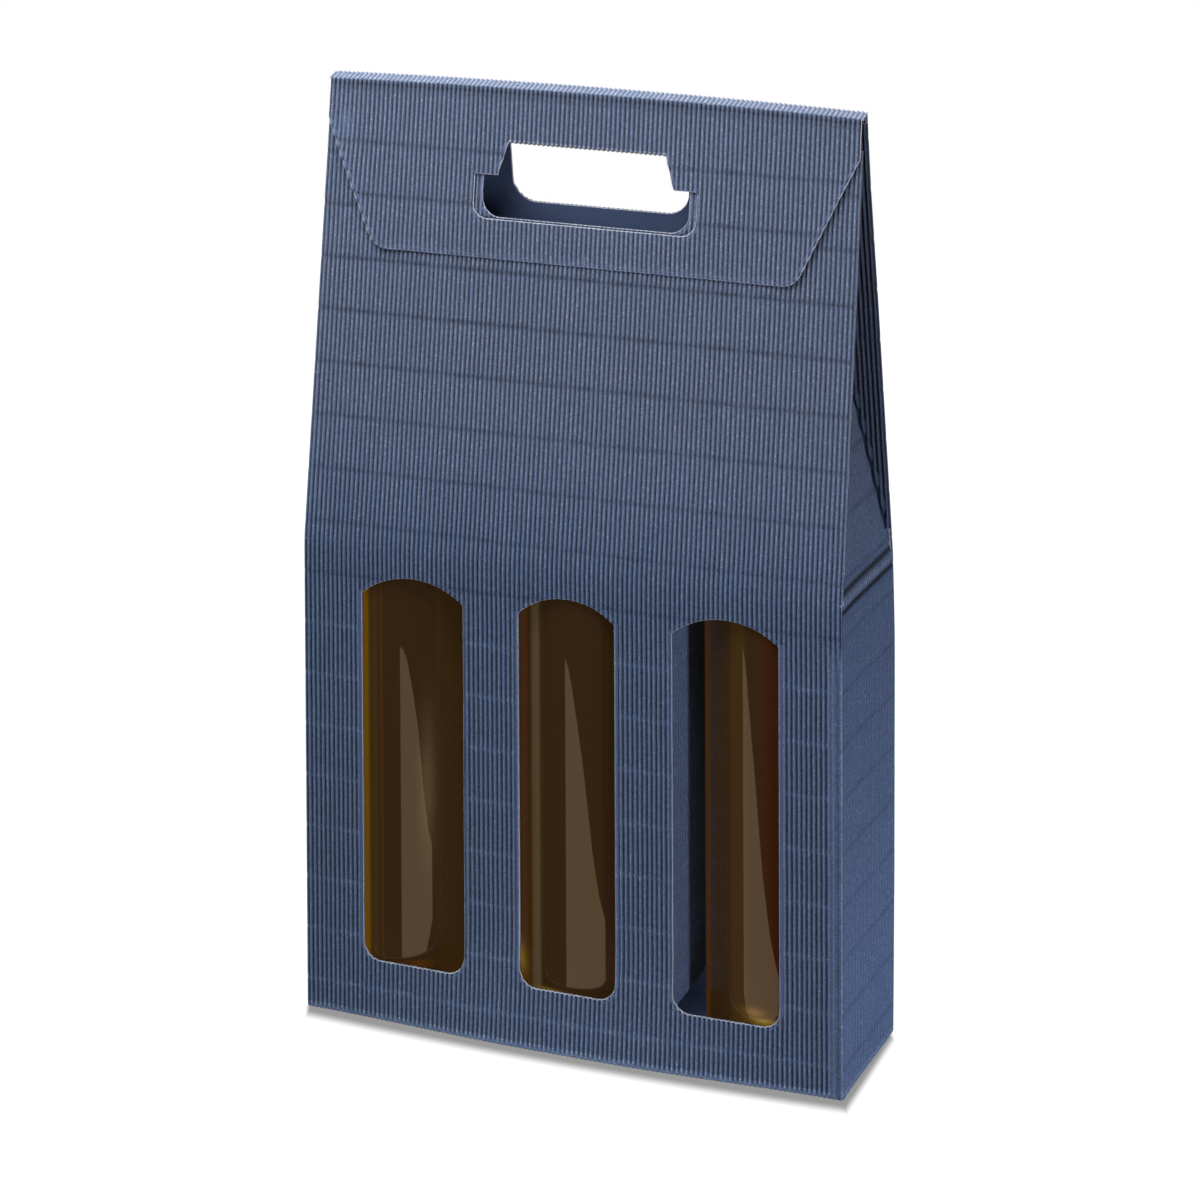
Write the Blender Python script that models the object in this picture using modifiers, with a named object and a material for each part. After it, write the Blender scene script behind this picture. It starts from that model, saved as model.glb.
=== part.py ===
"""Three bottle wine carrier: a gable-top carton of folded board around three wine bottles.

Metres, +Z up. The front with the windows faces -Y, the width runs along X, and the carton
stands on z = 0 with its middle over the origin.
"""

from math import atan, cos, pi, radians, sin, tan

import bpy
from mathutils import Vector

# Board and the clearances between neighbouring pieces
BOARD = 0.0015
SEAM = 0.0003
CREASE_GAP = 0.0006
FOLD_GAP = 0.0010

# Wine bottle
BOTTLE_DIAMETER = 0.074
BOTTLE_BODY_HEIGHT = 0.205
BOTTLE_SHOULDER_HEIGHT = 0.052
BOTTLE_NECK_HEIGHT = 0.063
NECK_DIAMETER = 0.0290
GLASS_WALL = 0.0030
HEEL_RADIUS = 0.005
PUNT_HEIGHT = 0.014
PUNT_SHOULDER_RADIUS = 0.0165
PUNT_SHOULDER_HEIGHT = 0.010
SHOULDER_SOFTNESS = 1.25
CAP_WALL = 0.0006
CAP_LENGTH = 0.050
CAP_CLEARANCE = 0.0003
TURN_STEPS = 40

# Play around the bottles inside the carton
DEPTH_PLAY = 0.0015
MIDDLE_PLAY = 0.0130
OUTER_PLAY = 0.0070
WALL_PLAY = 0.0015
HEADROOM = 0.0186
GRIP_HEIGHT = 0.101

# Windows and the dividers cut from the two outer ones
MIDDLE_WINDOW_WIDTH = 0.0482
OUTER_WINDOW_WIDTH = 0.0520
WINDOW_SILL = 0.0282
WINDOW_SPRING_DROP = 0.0231
WINDOW_ARCH_RISE = 0.0095
WINDOW_CORNER = 0.0088
DIVIDER_TRIM = 0.0010

# Bottom flaps and the glue flap
SIDE_FLAP_LENGTH = 0.090
BACK_FLAP_SHARE = 0.7
GLUE_FLAP_WIDTH = 0.022
GLUE_FLAP_TRIM = 0.004

# Gable: distances named DROP run down the slope from the ridge
RIDGE_DEPTH = 0.0094
FLAP_GAP = 0.0004
FRONT_EDGE_DROP = 0.0155
FLAP_STRAIGHT_DROP = 0.0170
FLAP_LENGTH = 0.0790
FLAP_EDGE_HALF = 0.1047
FLAP_CORNER = 0.0100
CUT_TOP_DROP = 0.0230
CUT_BOTTOM_DROP = 0.0610
CUT_TOP_HALF = 0.0394
CUT_NECK_HALF = 0.0443
CUT_EAR_HALF = 0.0560
CUT_CORNER = 0.0075
EAR_CORNER = 0.0015
OPENING_TOP_DROP = 0.0205
FRONT_OPENING_HALF = 0.0520
FRONT_OPENING_BOTTOM_DROP = 0.0603
FRONT_OPENING_CORNER = 0.0095
BACK_OPENING_MARGIN = 0.0005
BACK_OPENING_BOTTOM_DROP = 0.0573
BACK_OPENING_CORNER = 0.0090
TONGUE_TRIM = 0.0003
EAR_CLEARANCE = 0.0005
WING_START = 0.014
WING_INSET = 0.0005
GUSSET_TOP_DROP = 0.0170
ARC_STEPS = 7

# Sizes that follow from the ones above
BOTTLE_RADIUS = BOTTLE_DIAMETER / 2
BOTTLE_HEIGHT = BOTTLE_BODY_HEIGHT + BOTTLE_SHOULDER_HEIGHT + BOTTLE_NECK_HEIGHT
LAYER = BOARD + SEAM
DEPTH = BOTTLE_DIAMETER + 2 * (DEPTH_PLAY + BOARD)
DIVIDER_X = BOTTLE_RADIUS + MIDDLE_PLAY
WINDOW_EDGE_X = DIVIDER_X + BOARD + SEAM
WIDTH = 2 * (DIVIDER_X + BOARD + BOTTLE_DIAMETER + OUTER_PLAY + BOARD)
OUTER_BOTTLE_X = WIDTH / 2 - BOARD - WALL_PLAY - BOTTLE_RADIUS
BODY_HEIGHT = 3 * LAYER + BOTTLE_BODY_HEIGHT + HEADROOM
GABLE_HEIGHT = BOTTLE_SHOULDER_HEIGHT + BOTTLE_NECK_HEIGHT + GRIP_HEIGHT
HEIGHT = BODY_HEIGHT + GABLE_HEIGHT

# Leans of the gable's panels from upright, and their lengths up the slope to the ridge
BACK_LEAN = atan((DEPTH / 2 - RIDGE_DEPTH / 2) / GABLE_HEIGHT)
FRONT_LEAN = atan((DEPTH / 2 - RIDGE_DEPTH / 2 + BOARD + FLAP_GAP) / GABLE_HEIGHT)
GUSSET_LEAN = atan(DEPTH / 2 / GABLE_HEIGHT)
FRONT_SLOPE = GABLE_HEIGHT / cos(FRONT_LEAN)
BACK_SLOPE = GABLE_HEIGHT / cos(BACK_LEAN)
GUSSET_SLOPE = GABLE_HEIGHT / cos(GUSSET_LEAN)

# The tongue's crease: on the flap's inner face, at the top of the cut-out
CREASE_DROP = CUT_TOP_DROP + TONGUE_TRIM
CREASE_Y = -RIDGE_DEPTH / 2 - CREASE_DROP * sin(FRONT_LEAN) + BOARD * cos(FRONT_LEAN)
CREASE_Z = HEIGHT - CREASE_DROP * cos(FRONT_LEAN) - BOARD * sin(FRONT_LEAN)
NECK_LENGTH = (
    RIDGE_DEPTH / 2 + (HEIGHT - CREASE_Z + BOARD) * tan(BACK_LEAN) - CREASE_Y + EAR_CLEARANCE
)
EAR_DROP = CREASE_DROP + NECK_LENGTH
TONGUE_LENGTH = CUT_BOTTOM_DROP - CREASE_DROP - TONGUE_TRIM

FRONT, RIGHT, BACK, LEFT = 0.0, radians(90), radians(180), radians(-90)
UPRIGHT, FLAT = 0.0, radians(90)


def clear_scene():
    for thing in list(bpy.data.objects):
        bpy.data.objects.remove(thing, do_unlink=True)


def make_material(name, colour, roughness, metallic=0.0, alpha=1.0):
    material = bpy.data.materials.new(name)
    material.use_nodes = True
    shader = material.node_tree.nodes["Principled BSDF"]
    shader.inputs["Base Color"].default_value = (*colour, 1.0)
    shader.inputs["Roughness"].default_value = roughness
    shader.inputs["Metallic"].default_value = metallic
    shader.inputs["Alpha"].default_value = alpha
    return material


def arc(centre, radius, start, end, steps=ARC_STEPS):
    """Points of a round stretch, its ends included."""
    angles = [start + (end - start) * i / steps for i in range(steps + 1)]
    return [(centre[0] + radius * cos(a), centre[1] + radius * sin(a)) for a in angles]


def rounded(corners):
    """A closed outline through corners of (x, y, radius), each turned into an arc."""
    points = []
    for i, (x, y, radius) in enumerate(corners):
        here = Vector((x, y))
        if radius == 0:
            points.append((x, y))
            continue
        before = (Vector(corners[i - 1][:2]) - here).normalized()
        after = (Vector(corners[(i + 1) % len(corners)][:2]) - here).normalized()
        half = before.angle(after) / 2
        centre = here + (before + after).normalized() * radius / sin(half)
        first = here + before * radius / tan(half) - centre
        turn = first.angle_signed(here + after * radius / tan(half) - centre)
        start = Vector((1, 0)).angle_signed(first)
        points += arc(centre, radius, -start, -start - turn)
    return points


def rectangle(x0, y0, x1, y1):
    return [(x0, y0), (x1, y0), (x1, y1), (x0, y1)]


def mirrored(points):
    """The same outline with left and right swapped."""
    return [(-x, y) for x, y in points]


def hinge_frame(name, location, lean, facing):
    """An empty on a crease: local X along it, local Y up the panel, local Z out of the carton."""
    empty = bpy.data.objects.new(name, None)
    empty.empty_display_size = 0.02
    empty.rotation_euler = (radians(90) - lean, 0, facing)
    empty.location = location
    parts.objects.link(empty)
    return empty


def panel(name, frame, outline, holes=(), below=0.0):
    """A flat piece of board in a frame's XY plane, its outer face a distance below that plane."""
    curve = bpy.data.curves.new(name, "CURVE")
    curve.dimensions = "2D"
    curve.fill_mode = "BOTH"
    curve.extrude = BOARD / 2
    for loop in (outline, *holes):
        spline = curve.splines.new("POLY")
        spline.points.add(len(loop) - 1)
        for point, (x, y) in zip(spline.points, loop):
            point.co = (x, y, 0, 1)
        spline.use_cyclic_u = True
    curve.materials.append(board_material)
    piece = bpy.data.objects.new(name, curve)
    piece.parent = frame
    piece.location = (0, 0, -below - BOARD / 2)
    parts.objects.link(piece)
    return piece


def turned(name, profile, location, material):
    """A profile of (radius, height) points turned about a vertical axis."""
    mesh = bpy.data.meshes.new(name)
    points = [(radius, 0, height) for radius, height in profile]
    edges = [(i, i + 1) for i in range(len(points) - 1)]
    mesh.from_pydata(points, edges, [])
    mesh.materials.append(material)
    piece = bpy.data.objects.new(name, mesh)
    piece.location = location
    screw = piece.modifiers.new("Turn", "SCREW")
    screw.steps = TURN_STEPS
    screw.render_steps = TURN_STEPS
    screw.use_merge_vertices = True
    screw.merge_threshold = 1e-6
    screw.use_normal_flip = True
    parts.objects.link(piece)
    return piece


def window_outline(width, centre=0.0):
    """A window in the front wall's frame: round lower corners under a flat arch."""
    half = width / 2
    spring = BODY_HEIGHT - WINDOW_SPRING_DROP
    radius = (half**2 + WINDOW_ARCH_RISE**2) / (2 * WINDOW_ARCH_RISE)
    reach = atan(half / (radius - WINDOW_ARCH_RISE))
    crown = arc(
        (centre, spring + WINDOW_ARCH_RISE - radius),
        radius,
        radians(90) - reach,
        radians(90) + reach,
        2 * ARC_STEPS,
    )
    left, right = centre - half, centre + half
    sill = rounded(
        [
            (left, WINDOW_SILL + 2 * WINDOW_CORNER, 0),
            (left, WINDOW_SILL, WINDOW_CORNER),
            (right, WINDOW_SILL, WINDOW_CORNER),
            (right, WINDOW_SILL + 2 * WINDOW_CORNER, 0),
        ]
    )
    return sill + crown


def build_tube():
    """The four walls and the flap that glues them into a tube."""
    outer_centre = WINDOW_EDGE_X + OUTER_WINDOW_WIDTH / 2
    windows = [
        window_outline(OUTER_WINDOW_WIDTH, -outer_centre),
        window_outline(MIDDLE_WINDOW_WIDTH),
        window_outline(OUTER_WINDOW_WIDTH, outer_centre),
    ]
    wide = rectangle(-WIDTH / 2, 0, WIDTH / 2, BODY_HEIGHT)
    front = hinge_frame("front_frame", (0, -DEPTH / 2, 0), UPRIGHT, FRONT)
    panel("front_wall", front, wide, windows)
    back = hinge_frame("back_frame", (0, DEPTH / 2, 0), UPRIGHT, BACK)
    panel("back_wall", back, wide)

    side_half = DEPTH / 2 - LAYER
    side = rectangle(-side_half, 0, side_half, BODY_HEIGHT)
    right = hinge_frame("right_frame", (WIDTH / 2, 0, 0), UPRIGHT, RIGHT)
    panel("right_wall", right, side)
    left = hinge_frame("left_frame", (-WIDTH / 2, 0, 0), UPRIGHT, LEFT)
    panel("left_wall", left, side)
    glue = rounded(
        [
            (-side_half, 3 * LAYER + SEAM, 0),
            (-side_half + GLUE_FLAP_WIDTH, 3 * LAYER + GLUE_FLAP_WIDTH / 2, GLUE_FLAP_TRIM),
            (-side_half + GLUE_FLAP_WIDTH, BODY_HEIGHT - GLUE_FLAP_WIDTH / 2, GLUE_FLAP_TRIM),
            (-side_half, BODY_HEIGHT - GLUE_FLAP_TRIM, 0),
        ]
    )
    panel("glue_flap", left, glue, below=LAYER)


def build_bottom():
    """Four flaps folded over each other: front one outermost, side ones on top."""
    half_width = WIDTH / 2 - LAYER
    half_depth = DEPTH / 2 - LAYER
    floor = hinge_frame("floor_frame", (0, 0, BOARD), FLAT, FRONT)
    panel("front_bottom_flap", floor, rectangle(-half_width, -half_depth, half_width, half_depth))
    back_reach = half_depth - BACK_FLAP_SHARE * 2 * half_depth
    back_flap = rectangle(-half_width, back_reach, half_width, half_depth)
    panel("back_bottom_flap", floor, back_flap, below=-LAYER)
    side_end = half_width - SIDE_FLAP_LENGTH
    side_flap = rectangle(side_end, -half_depth, half_width, half_depth)
    panel("right_bottom_flap", floor, side_flap, below=-2 * LAYER)
    panel("left_bottom_flap", floor, mirrored(side_flap), below=-2 * LAYER)


def build_dividers():
    """The outer windows' cut-outs, folded in about their inner edges to stand between bottles."""
    length = OUTER_WINDOW_WIDTH - DIVIDER_TRIM
    shape = window_outline(OUTER_WINDOW_WIDTH, OUTER_WINDOW_WIDTH / 2)
    shape = [(min(max(x, CREASE_GAP), length), y) for x, y in shape]
    crease_y = -DEPTH / 2 + BOARD
    right = hinge_frame("right_divider_frame", (DIVIDER_X + BOARD, crease_y, 0), UPRIGHT, RIGHT)
    panel("right_divider", right, shape)
    left = hinge_frame("left_divider_frame", (-DIVIDER_X - BOARD, crease_y, 0), UPRIGHT, LEFT)
    panel("left_divider", left, mirrored(shape))


def opening(half, top_drop, bottom_drop, corner, slope):
    """A shoulder's hand opening: square at the top, round at the bottom."""
    top, bottom = slope - top_drop, slope - bottom_drop
    return rounded([(-half, top, 0), (-half, bottom, corner), (half, bottom, corner), (half, top, 0)])


def build_shoulders(front, back):
    """The two panels that lean in over the bottles, and the ridge strip on the back one."""
    half = WIDTH / 2
    front_hole = opening(
        FRONT_OPENING_HALF,
        OPENING_TOP_DROP,
        FRONT_OPENING_BOTTOM_DROP,
        FRONT_OPENING_CORNER,
        FRONT_SLOPE,
    )
    front_edge = FRONT_SLOPE - FRONT_EDGE_DROP
    panel("front_shoulder", front, rectangle(-half, CREASE_GAP, half, front_edge), [front_hole])

    back_hole = opening(
        CUT_NECK_HALF + BACK_OPENING_MARGIN,
        OPENING_TOP_DROP,
        BACK_OPENING_BOTTOM_DROP,
        BACK_OPENING_CORNER,
        BACK_SLOPE,
    )
    back_edge = (GABLE_HEIGHT - LAYER) / cos(BACK_LEAN)
    panel("back_shoulder", back, rectangle(-half, CREASE_GAP, half, back_edge), [back_hole])

    ridge = hinge_frame("ridge_frame", (0, 0, HEIGHT), FLAT, FRONT)
    strip = rectangle(-half, -RIDGE_DEPTH / 2, half, RIDGE_DEPTH / 2)
    panel("ridge_strip", ridge, strip)


def build_flap():
    """The closure flap that comes over the ridge, with the tongue's cut-out in it."""
    half = WIDTH / 2
    start = LAYER / cos(FRONT_LEAN)
    crease = (0, -RIDGE_DEPTH / 2, HEIGHT)
    frame = hinge_frame("flap_frame", crease, FRONT_LEAN, FRONT)
    outline = rounded(
        [
            (-half, -start, 0),
            (-half, -FLAP_STRAIGHT_DROP, 0),
            (-FLAP_EDGE_HALF, -FLAP_LENGTH, FLAP_CORNER),
            (FLAP_EDGE_HALF, -FLAP_LENGTH, FLAP_CORNER),
            (half, -FLAP_STRAIGHT_DROP, 0),
            (half, -start, 0),
        ]
    )
    cut = rounded(
        [
            (-CUT_TOP_HALF, -CUT_TOP_DROP, 0),
            (-CUT_NECK_HALF, -EAR_DROP, 0),
            (-CUT_EAR_HALF, -EAR_DROP, EAR_CORNER),
            (-CUT_EAR_HALF, -CUT_BOTTOM_DROP, CUT_CORNER),
            (CUT_EAR_HALF, -CUT_BOTTOM_DROP, CUT_CORNER),
            (CUT_EAR_HALF, -EAR_DROP, EAR_CORNER),
            (CUT_NECK_HALF, -EAR_DROP, 0),
            (CUT_TOP_HALF, -CUT_TOP_DROP, 0),
        ]
    )
    panel("closure_flap", frame, outline, [cut])


def build_tongue():
    """The cut-out's own board, folded back through both shoulders so its ears catch."""
    frame = hinge_frame("tongue_frame", (0, CREASE_Y, CREASE_Z), FLAT, FRONT)
    top_half = CUT_TOP_HALF - TONGUE_TRIM
    neck_half = CUT_NECK_HALF - TONGUE_TRIM
    ear_half = CUT_EAR_HALF - TONGUE_TRIM
    outline = rounded(
        [
            (-top_half, TONGUE_TRIM, 0),
            (top_half, TONGUE_TRIM, 0),
            (neck_half, NECK_LENGTH, 0),
            (ear_half, NECK_LENGTH, EAR_CORNER),
            (ear_half, TONGUE_LENGTH, CUT_CORNER),
            (-ear_half, TONGUE_LENGTH, CUT_CORNER),
            (-ear_half, NECK_LENGTH, EAR_CORNER),
            (-neck_half, NECK_LENGTH, 0),
        ]
    )
    panel("locking_tongue", frame, outline)


def build_wings(front, back):
    """The side panels' outer parts, folded flat against the insides of the shoulders."""
    edge = WIDTH / 2 - WING_INSET
    for shoulder, frame, slope, top in (
        ("front", front, FRONT_SLOPE, FRONT_SLOPE - FRONT_EDGE_DROP),
        ("back", back, BACK_SLOPE, (GABLE_HEIGHT - LAYER - BOARD) / cos(BACK_LEAN)),
    ):
        fold = [FOLD_GAP + WING_INSET - up * DEPTH / 2 / slope for up in (WING_START, top)]
        shape = [(0, WING_START), (0, top), (fold[1], top), (fold[0], WING_START)]
        # The back frame faces the other way, so the carton's right is at its left.
        turn = 1 if shoulder == "front" else -1
        for side, direction in (("right", turn), ("left", -turn)):
            name = f"{side}_{shoulder}_wing"
            fold_frame = bpy.data.objects.new(f"{name}_frame", None)
            fold_frame.parent = frame
            fold_frame.location = (direction * edge, 0, -LAYER)
            parts.objects.link(fold_frame)
            panel(name, fold_frame, shape if direction > 0 else mirrored(shape))


def gusset_edge(up, lean, layers):
    """Half-width of a gusset at a place up its slope, clear of the layers folded beside it."""
    rise = up * cos(GUSSET_LEAN)
    return DEPTH / 2 - rise * tan(lean) - layers / cos(lean)


def build_gussets():
    """The side panels' middle triangles, leaning in under the ridge."""
    low = BOARD + CREASE_GAP
    high = LAYER + BOARD + FOLD_GAP
    step = WING_START - FOLD_GAP
    top = GUSSET_SLOPE - GUSSET_TOP_DROP
    levels = ((CREASE_GAP, low), (step, low), (step, high), (top, high))
    front_side = [(-gusset_edge(up, FRONT_LEAN, layers), up) for up, layers in levels]
    back_side = [(gusset_edge(up, BACK_LEAN, layers), up) for up, layers in reversed(levels)]
    shape = front_side + back_side
    right = hinge_frame("right_gusset_frame", (WIDTH / 2, 0, BODY_HEIGHT), GUSSET_LEAN, RIGHT)
    panel("right_gusset", right, shape)
    left = hinge_frame("left_gusset_frame", (-WIDTH / 2, 0, BODY_HEIGHT), GUSSET_LEAN, LEFT)
    panel("left_gusset", left, mirrored(shape))


def shoulder_curve(wide, narrow, bottom, height, steps=10):
    """Points of a bottle's shoulder between its body and its neck."""
    points = []
    for i in range(1, steps):
        share = i / steps
        radius = narrow + (wide - narrow) * (1 + cos(pi * share**SHOULDER_SOFTNESS)) / 2
        points.append((radius, bottom + height * share))
    return points


def build_bottle(name, x, floor):
    """A glass bottle, hollow and open at its mouth, and the cap that closes it."""
    neck = NECK_DIAMETER / 2
    shoulder_top = BOTTLE_BODY_HEIGHT + BOTTLE_SHOULDER_HEIGHT
    heel = arc((BOTTLE_RADIUS - HEEL_RADIUS, HEEL_RADIUS), HEEL_RADIUS, radians(-90), 0, 5)
    outside = [(0, PUNT_HEIGHT), (PUNT_SHOULDER_RADIUS, PUNT_SHOULDER_HEIGHT), *heel]
    outside += [(BOTTLE_RADIUS, BOTTLE_BODY_HEIGHT)]
    outside += shoulder_curve(BOTTLE_RADIUS, neck, BOTTLE_BODY_HEIGHT, BOTTLE_SHOULDER_HEIGHT)
    outside += [(neck, shoulder_top), (neck, BOTTLE_HEIGHT)]
    inner = BOTTLE_RADIUS - GLASS_WALL
    inner_neck = neck - GLASS_WALL
    inside = [(inner_neck, BOTTLE_HEIGHT), (inner_neck, shoulder_top)]
    inside += reversed(
        shoulder_curve(inner, inner_neck, BOTTLE_BODY_HEIGHT, BOTTLE_SHOULDER_HEIGHT)
    )
    inside += [(inner, BOTTLE_BODY_HEIGHT), (inner, 2 * HEEL_RADIUS)]
    inside += [(inner - GLASS_WALL, HEEL_RADIUS + GLASS_WALL), (0, PUNT_HEIGHT + GLASS_WALL)]
    place = (x, 0, floor + SEAM)
    turned(f"{name}_bottle", outside + inside, place, glass_material)

    cap_inner = neck + CAP_CLEARANCE
    cap_outer = cap_inner + CAP_WALL
    cap_top = BOTTLE_HEIGHT + CAP_CLEARANCE + CAP_WALL
    cap_bottom = BOTTLE_HEIGHT - CAP_LENGTH
    cap = [
        (0, cap_top - CAP_WALL),
        (cap_inner, cap_top - CAP_WALL),
        (cap_inner, cap_bottom),
        (cap_outer, cap_bottom),
        (cap_outer, cap_top),
        (0, cap_top),
    ]
    turned(f"{name}_bottle_cap", cap, place, cap_material)


clear_scene()
parts = bpy.data.collections.new("three_bottle_wine_carrier")
bpy.context.scene.collection.children.link(parts)
board_material = make_material("navy corrugated board", (0.075, 0.105, 0.190), 0.85)
glass_material = make_material("amber glass", (0.16, 0.075, 0.018), 0.05, alpha=0.6)
cap_material = make_material("black bottle cap", (0.02, 0.02, 0.025), 0.4)

front_hinge = hinge_frame("front_shoulder_frame", (0, -DEPTH / 2, BODY_HEIGHT), FRONT_LEAN, FRONT)
back_hinge = hinge_frame("back_shoulder_frame", (0, DEPTH / 2, BODY_HEIGHT), BACK_LEAN, BACK)
build_tube()
build_bottom()
build_dividers()
build_shoulders(front_hinge, back_hinge)
build_flap()
build_tongue()
build_wings(front_hinge, back_hinge)
build_gussets()
build_bottle("left", -OUTER_BOTTLE_X, 3 * LAYER)
build_bottle("middle", 0, 2 * LAYER)
build_bottle("right", OUTER_BOTTLE_X, 3 * LAYER)
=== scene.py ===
from math import atan, cos, pi, radians, sin, tan

import bpy
import numpy as np
from mathutils import Matrix, Vector


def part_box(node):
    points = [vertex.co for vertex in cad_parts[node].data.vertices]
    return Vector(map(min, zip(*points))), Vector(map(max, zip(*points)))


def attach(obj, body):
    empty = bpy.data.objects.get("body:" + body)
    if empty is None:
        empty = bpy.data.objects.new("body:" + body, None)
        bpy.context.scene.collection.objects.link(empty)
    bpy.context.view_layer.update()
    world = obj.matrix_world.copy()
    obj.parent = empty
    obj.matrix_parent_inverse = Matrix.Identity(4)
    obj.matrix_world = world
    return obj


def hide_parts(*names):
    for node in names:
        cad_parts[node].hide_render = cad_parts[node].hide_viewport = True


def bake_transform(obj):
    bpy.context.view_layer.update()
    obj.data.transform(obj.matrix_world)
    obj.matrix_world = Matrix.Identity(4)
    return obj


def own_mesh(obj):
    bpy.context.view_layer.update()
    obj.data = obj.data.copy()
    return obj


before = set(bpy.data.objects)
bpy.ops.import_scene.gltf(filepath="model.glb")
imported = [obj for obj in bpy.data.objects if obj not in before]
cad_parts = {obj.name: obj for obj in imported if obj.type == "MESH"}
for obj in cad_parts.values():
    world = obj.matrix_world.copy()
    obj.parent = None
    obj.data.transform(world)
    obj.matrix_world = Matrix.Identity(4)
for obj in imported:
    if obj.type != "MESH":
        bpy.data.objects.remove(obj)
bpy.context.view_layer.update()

# Three bottle wine carrier, metres, +Z up. The windows face -Y and the carton stands on z = 0.
# Every panel is one sheet of single-faced corrugated board: a fluted paper outside, glued to a
# flat liner inside. A panel is worked out flat, with `a` across its flutes and `b` along them,
# and is then carried onto its plane with its edges rolled into the folds.

# Board
BOARD = 0.0015
LAYER = 0.0018
FLUTE_DEPTH = 0.00085
PAPER = 0.00025
LINER = 0.00035
HOLLOW = 0.00002
FLUTE_STEPS = 8
CREST_POWER = 0.6
WALL_CREST_POWER = 1.0
BEND_CREST_POWER = 0.95
FRONT_FLUTES = 115
SIDE_FLUTES = 34
LIP = 0.00022
FLAP_LIP = 0.00032
TUNNEL = 0.0016

# Carton
WIDTH = 0.268
DEPTH = 0.080
BODY_HEIGHT = 0.229
HEIGHT = 0.445
HALF = WIDTH / 2
GABLE_HEIGHT = HEIGHT - BODY_HEIGHT
RIDGE_DEPTH = 0.0094
RIDGE_RISE = 0.0019
FLAP_GAP = 0.0004
BACK_LEAN = atan((DEPTH / 2 - RIDGE_DEPTH / 2) / GABLE_HEIGHT)
FRONT_LEAN = atan((DEPTH / 2 - RIDGE_DEPTH / 2 + BOARD + FLAP_GAP) / GABLE_HEIGHT)
GUSSET_LEAN = atan(DEPTH / 2 / GABLE_HEIGHT)
FRONT_SLOPE = GABLE_HEIGHT / cos(FRONT_LEAN)
FRONT_TOP = FRONT_SLOPE - 0.0155
BACK_SLOPE = (GABLE_HEIGHT + RIDGE_RISE) / cos(BACK_LEAN)
RIDGE_BACK = RIDGE_DEPTH / 2 - RIDGE_RISE * tan(BACK_LEAN)
RIDGE_TILT = atan(RIDGE_RISE / (RIDGE_DEPTH / 2 + RIDGE_BACK))
RIDGE_WIDTH = (RIDGE_DEPTH / 2 + RIDGE_BACK) / cos(RIDGE_TILT)
FRONT_TURN = radians(90) - FRONT_LEAN - RIDGE_TILT
BACK_TURN = radians(90) - BACK_LEAN + RIDGE_TILT
GUSSET_SLOPE = GABLE_HEIGHT / cos(GUSSET_LEAN)

# Folds: the outer radius of each kind
CORNER_FOLD = 0.0012
RIDGE_FOLD = 0.0012
WING_FOLD = 0.00165
BEND = 0.060
GUSSET_BEND = 0.004
TONGUE_ROLL = 0.00175
TIGHTEST_LINER = 0.005
FOLD_STEPS = 6

# Windows, each as its left edge, right edge
SILL = 0.0282
WINDOW_CORNER = 0.0088
SPRING = 0.2059
ARCH_RISE = 0.0095
WINDOWS = ((-0.1038, -0.0518), (-0.0241, 0.0241), (0.0518, 0.1038))
WINDOW_WIDTH = 0.0520

# The flap's cut-out: half widths at its top, neck and ears, drops below the ridge, and corners
CUT_TOP_HALF, CUT_NECK_HALF, CUT_EAR_HALF = 0.0394, 0.0443, 0.0560
CUT_TOP = 0.0230
CUT_BOTTOM = 0.0610
CUT_CORNER = 0.0075
EAR_CORNER = 0.0015
TONGUE_TRIM = 0.0003

# How far the board bulges, as heights and the push there
SIDE_BULGE = (0.0, 0.08, 0.19, 0.23, 0.36, 0.41), (0.0017, 0.0024, 0.0028, 0.0020, 0.0010, 0.0)
RIDGE_BOW = 0.0019
FRONT_BULGE = (0.0, 0.012, 0.030, 0.050), (0.0048, 0.0034, 0.0011, 0.0)

# Pressed lines that the corrugating machine leaves across the flutes. A pair of tones is what
# the valleys and the crests take there: 0 is a valley's own tone, 1 a crest's, more is paler. DARK paints
# shade on the pressed lines, where the flattened crests lose their light.
PRESS_PITCH = 0.0248
PRESS_WIDTH = 0.0010
PRESS_DEPTH = 0.00030
PRESS_SHIFT = 0.00030
DARK = (-0.05, 0.40)
PALE = (0.50, 1.12)

# Studio: how the painted shadow under the carton falls, and the card that the bottles reflect
SHADE_WAY = (0.400, -0.917)
SHADE_START = 0.0025
SHADE_REACH = 0.0150
SHADE_EDGE = (-0.004, 0.002)
SHADE_DARKEST, TABLE_GLOW = 0.29, 1.05
CARD_PLACE = -0.197
CARD_OUTLINE = ((-0.076, -0.060), (0.125, -0.060), (0.125, -0.020), (0.088, 0.000), (0.054, 0.028),
                (0.014, 0.073), (-0.014, 0.096), (-0.040, 0.114), (-0.060, 0.122), (-0.076, 0.124))

# Camera: its place, and how far the picture's middle lies along, right of and above the picture
# plane's own axis, in picture widths
EYE = (0.6319, -1.7510, 0.8327)
PICTURE = (3944.86 / 1200, (600 - 380.84) / 1200, (-574.13 - 600) / 1200)

# What follows from the sizes
FRONT_PITCH = WIDTH / FRONT_FLUTES
SIDE_PITCH = DEPTH / SIDE_FLUTES
QUARTER = pi / 2
UP, DOWN = (0, 0, 1), (0, 0, -1)
# Distance along the sheet, past the flat part, to the middle of a corner fold
CORNER_RUN = CORNER_FOLD * pi / 4
CORNER_START = HALF - CORNER_FOLD
WALL_LINES = [(BODY_HEIGHT + 0.0090 - PRESS_PITCH * i, 0.60, PALE if i > 1 else DARK) for i in range(1, 10)]
SIDE_LINES = [(place, 0.40, DARK) for place, _, _ in WALL_LINES]
SHOULDER_SHARES = (0.50, 0.55, 0.60, 0.75, 0.85, 1.0, 0.8, 0.7, 0.7)
SHOULDER_LINES = [(0.0090 + PRESS_PITCH * 1.004 * i, share, DARK) for i, share in enumerate(SHOULDER_SHARES)]
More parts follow.
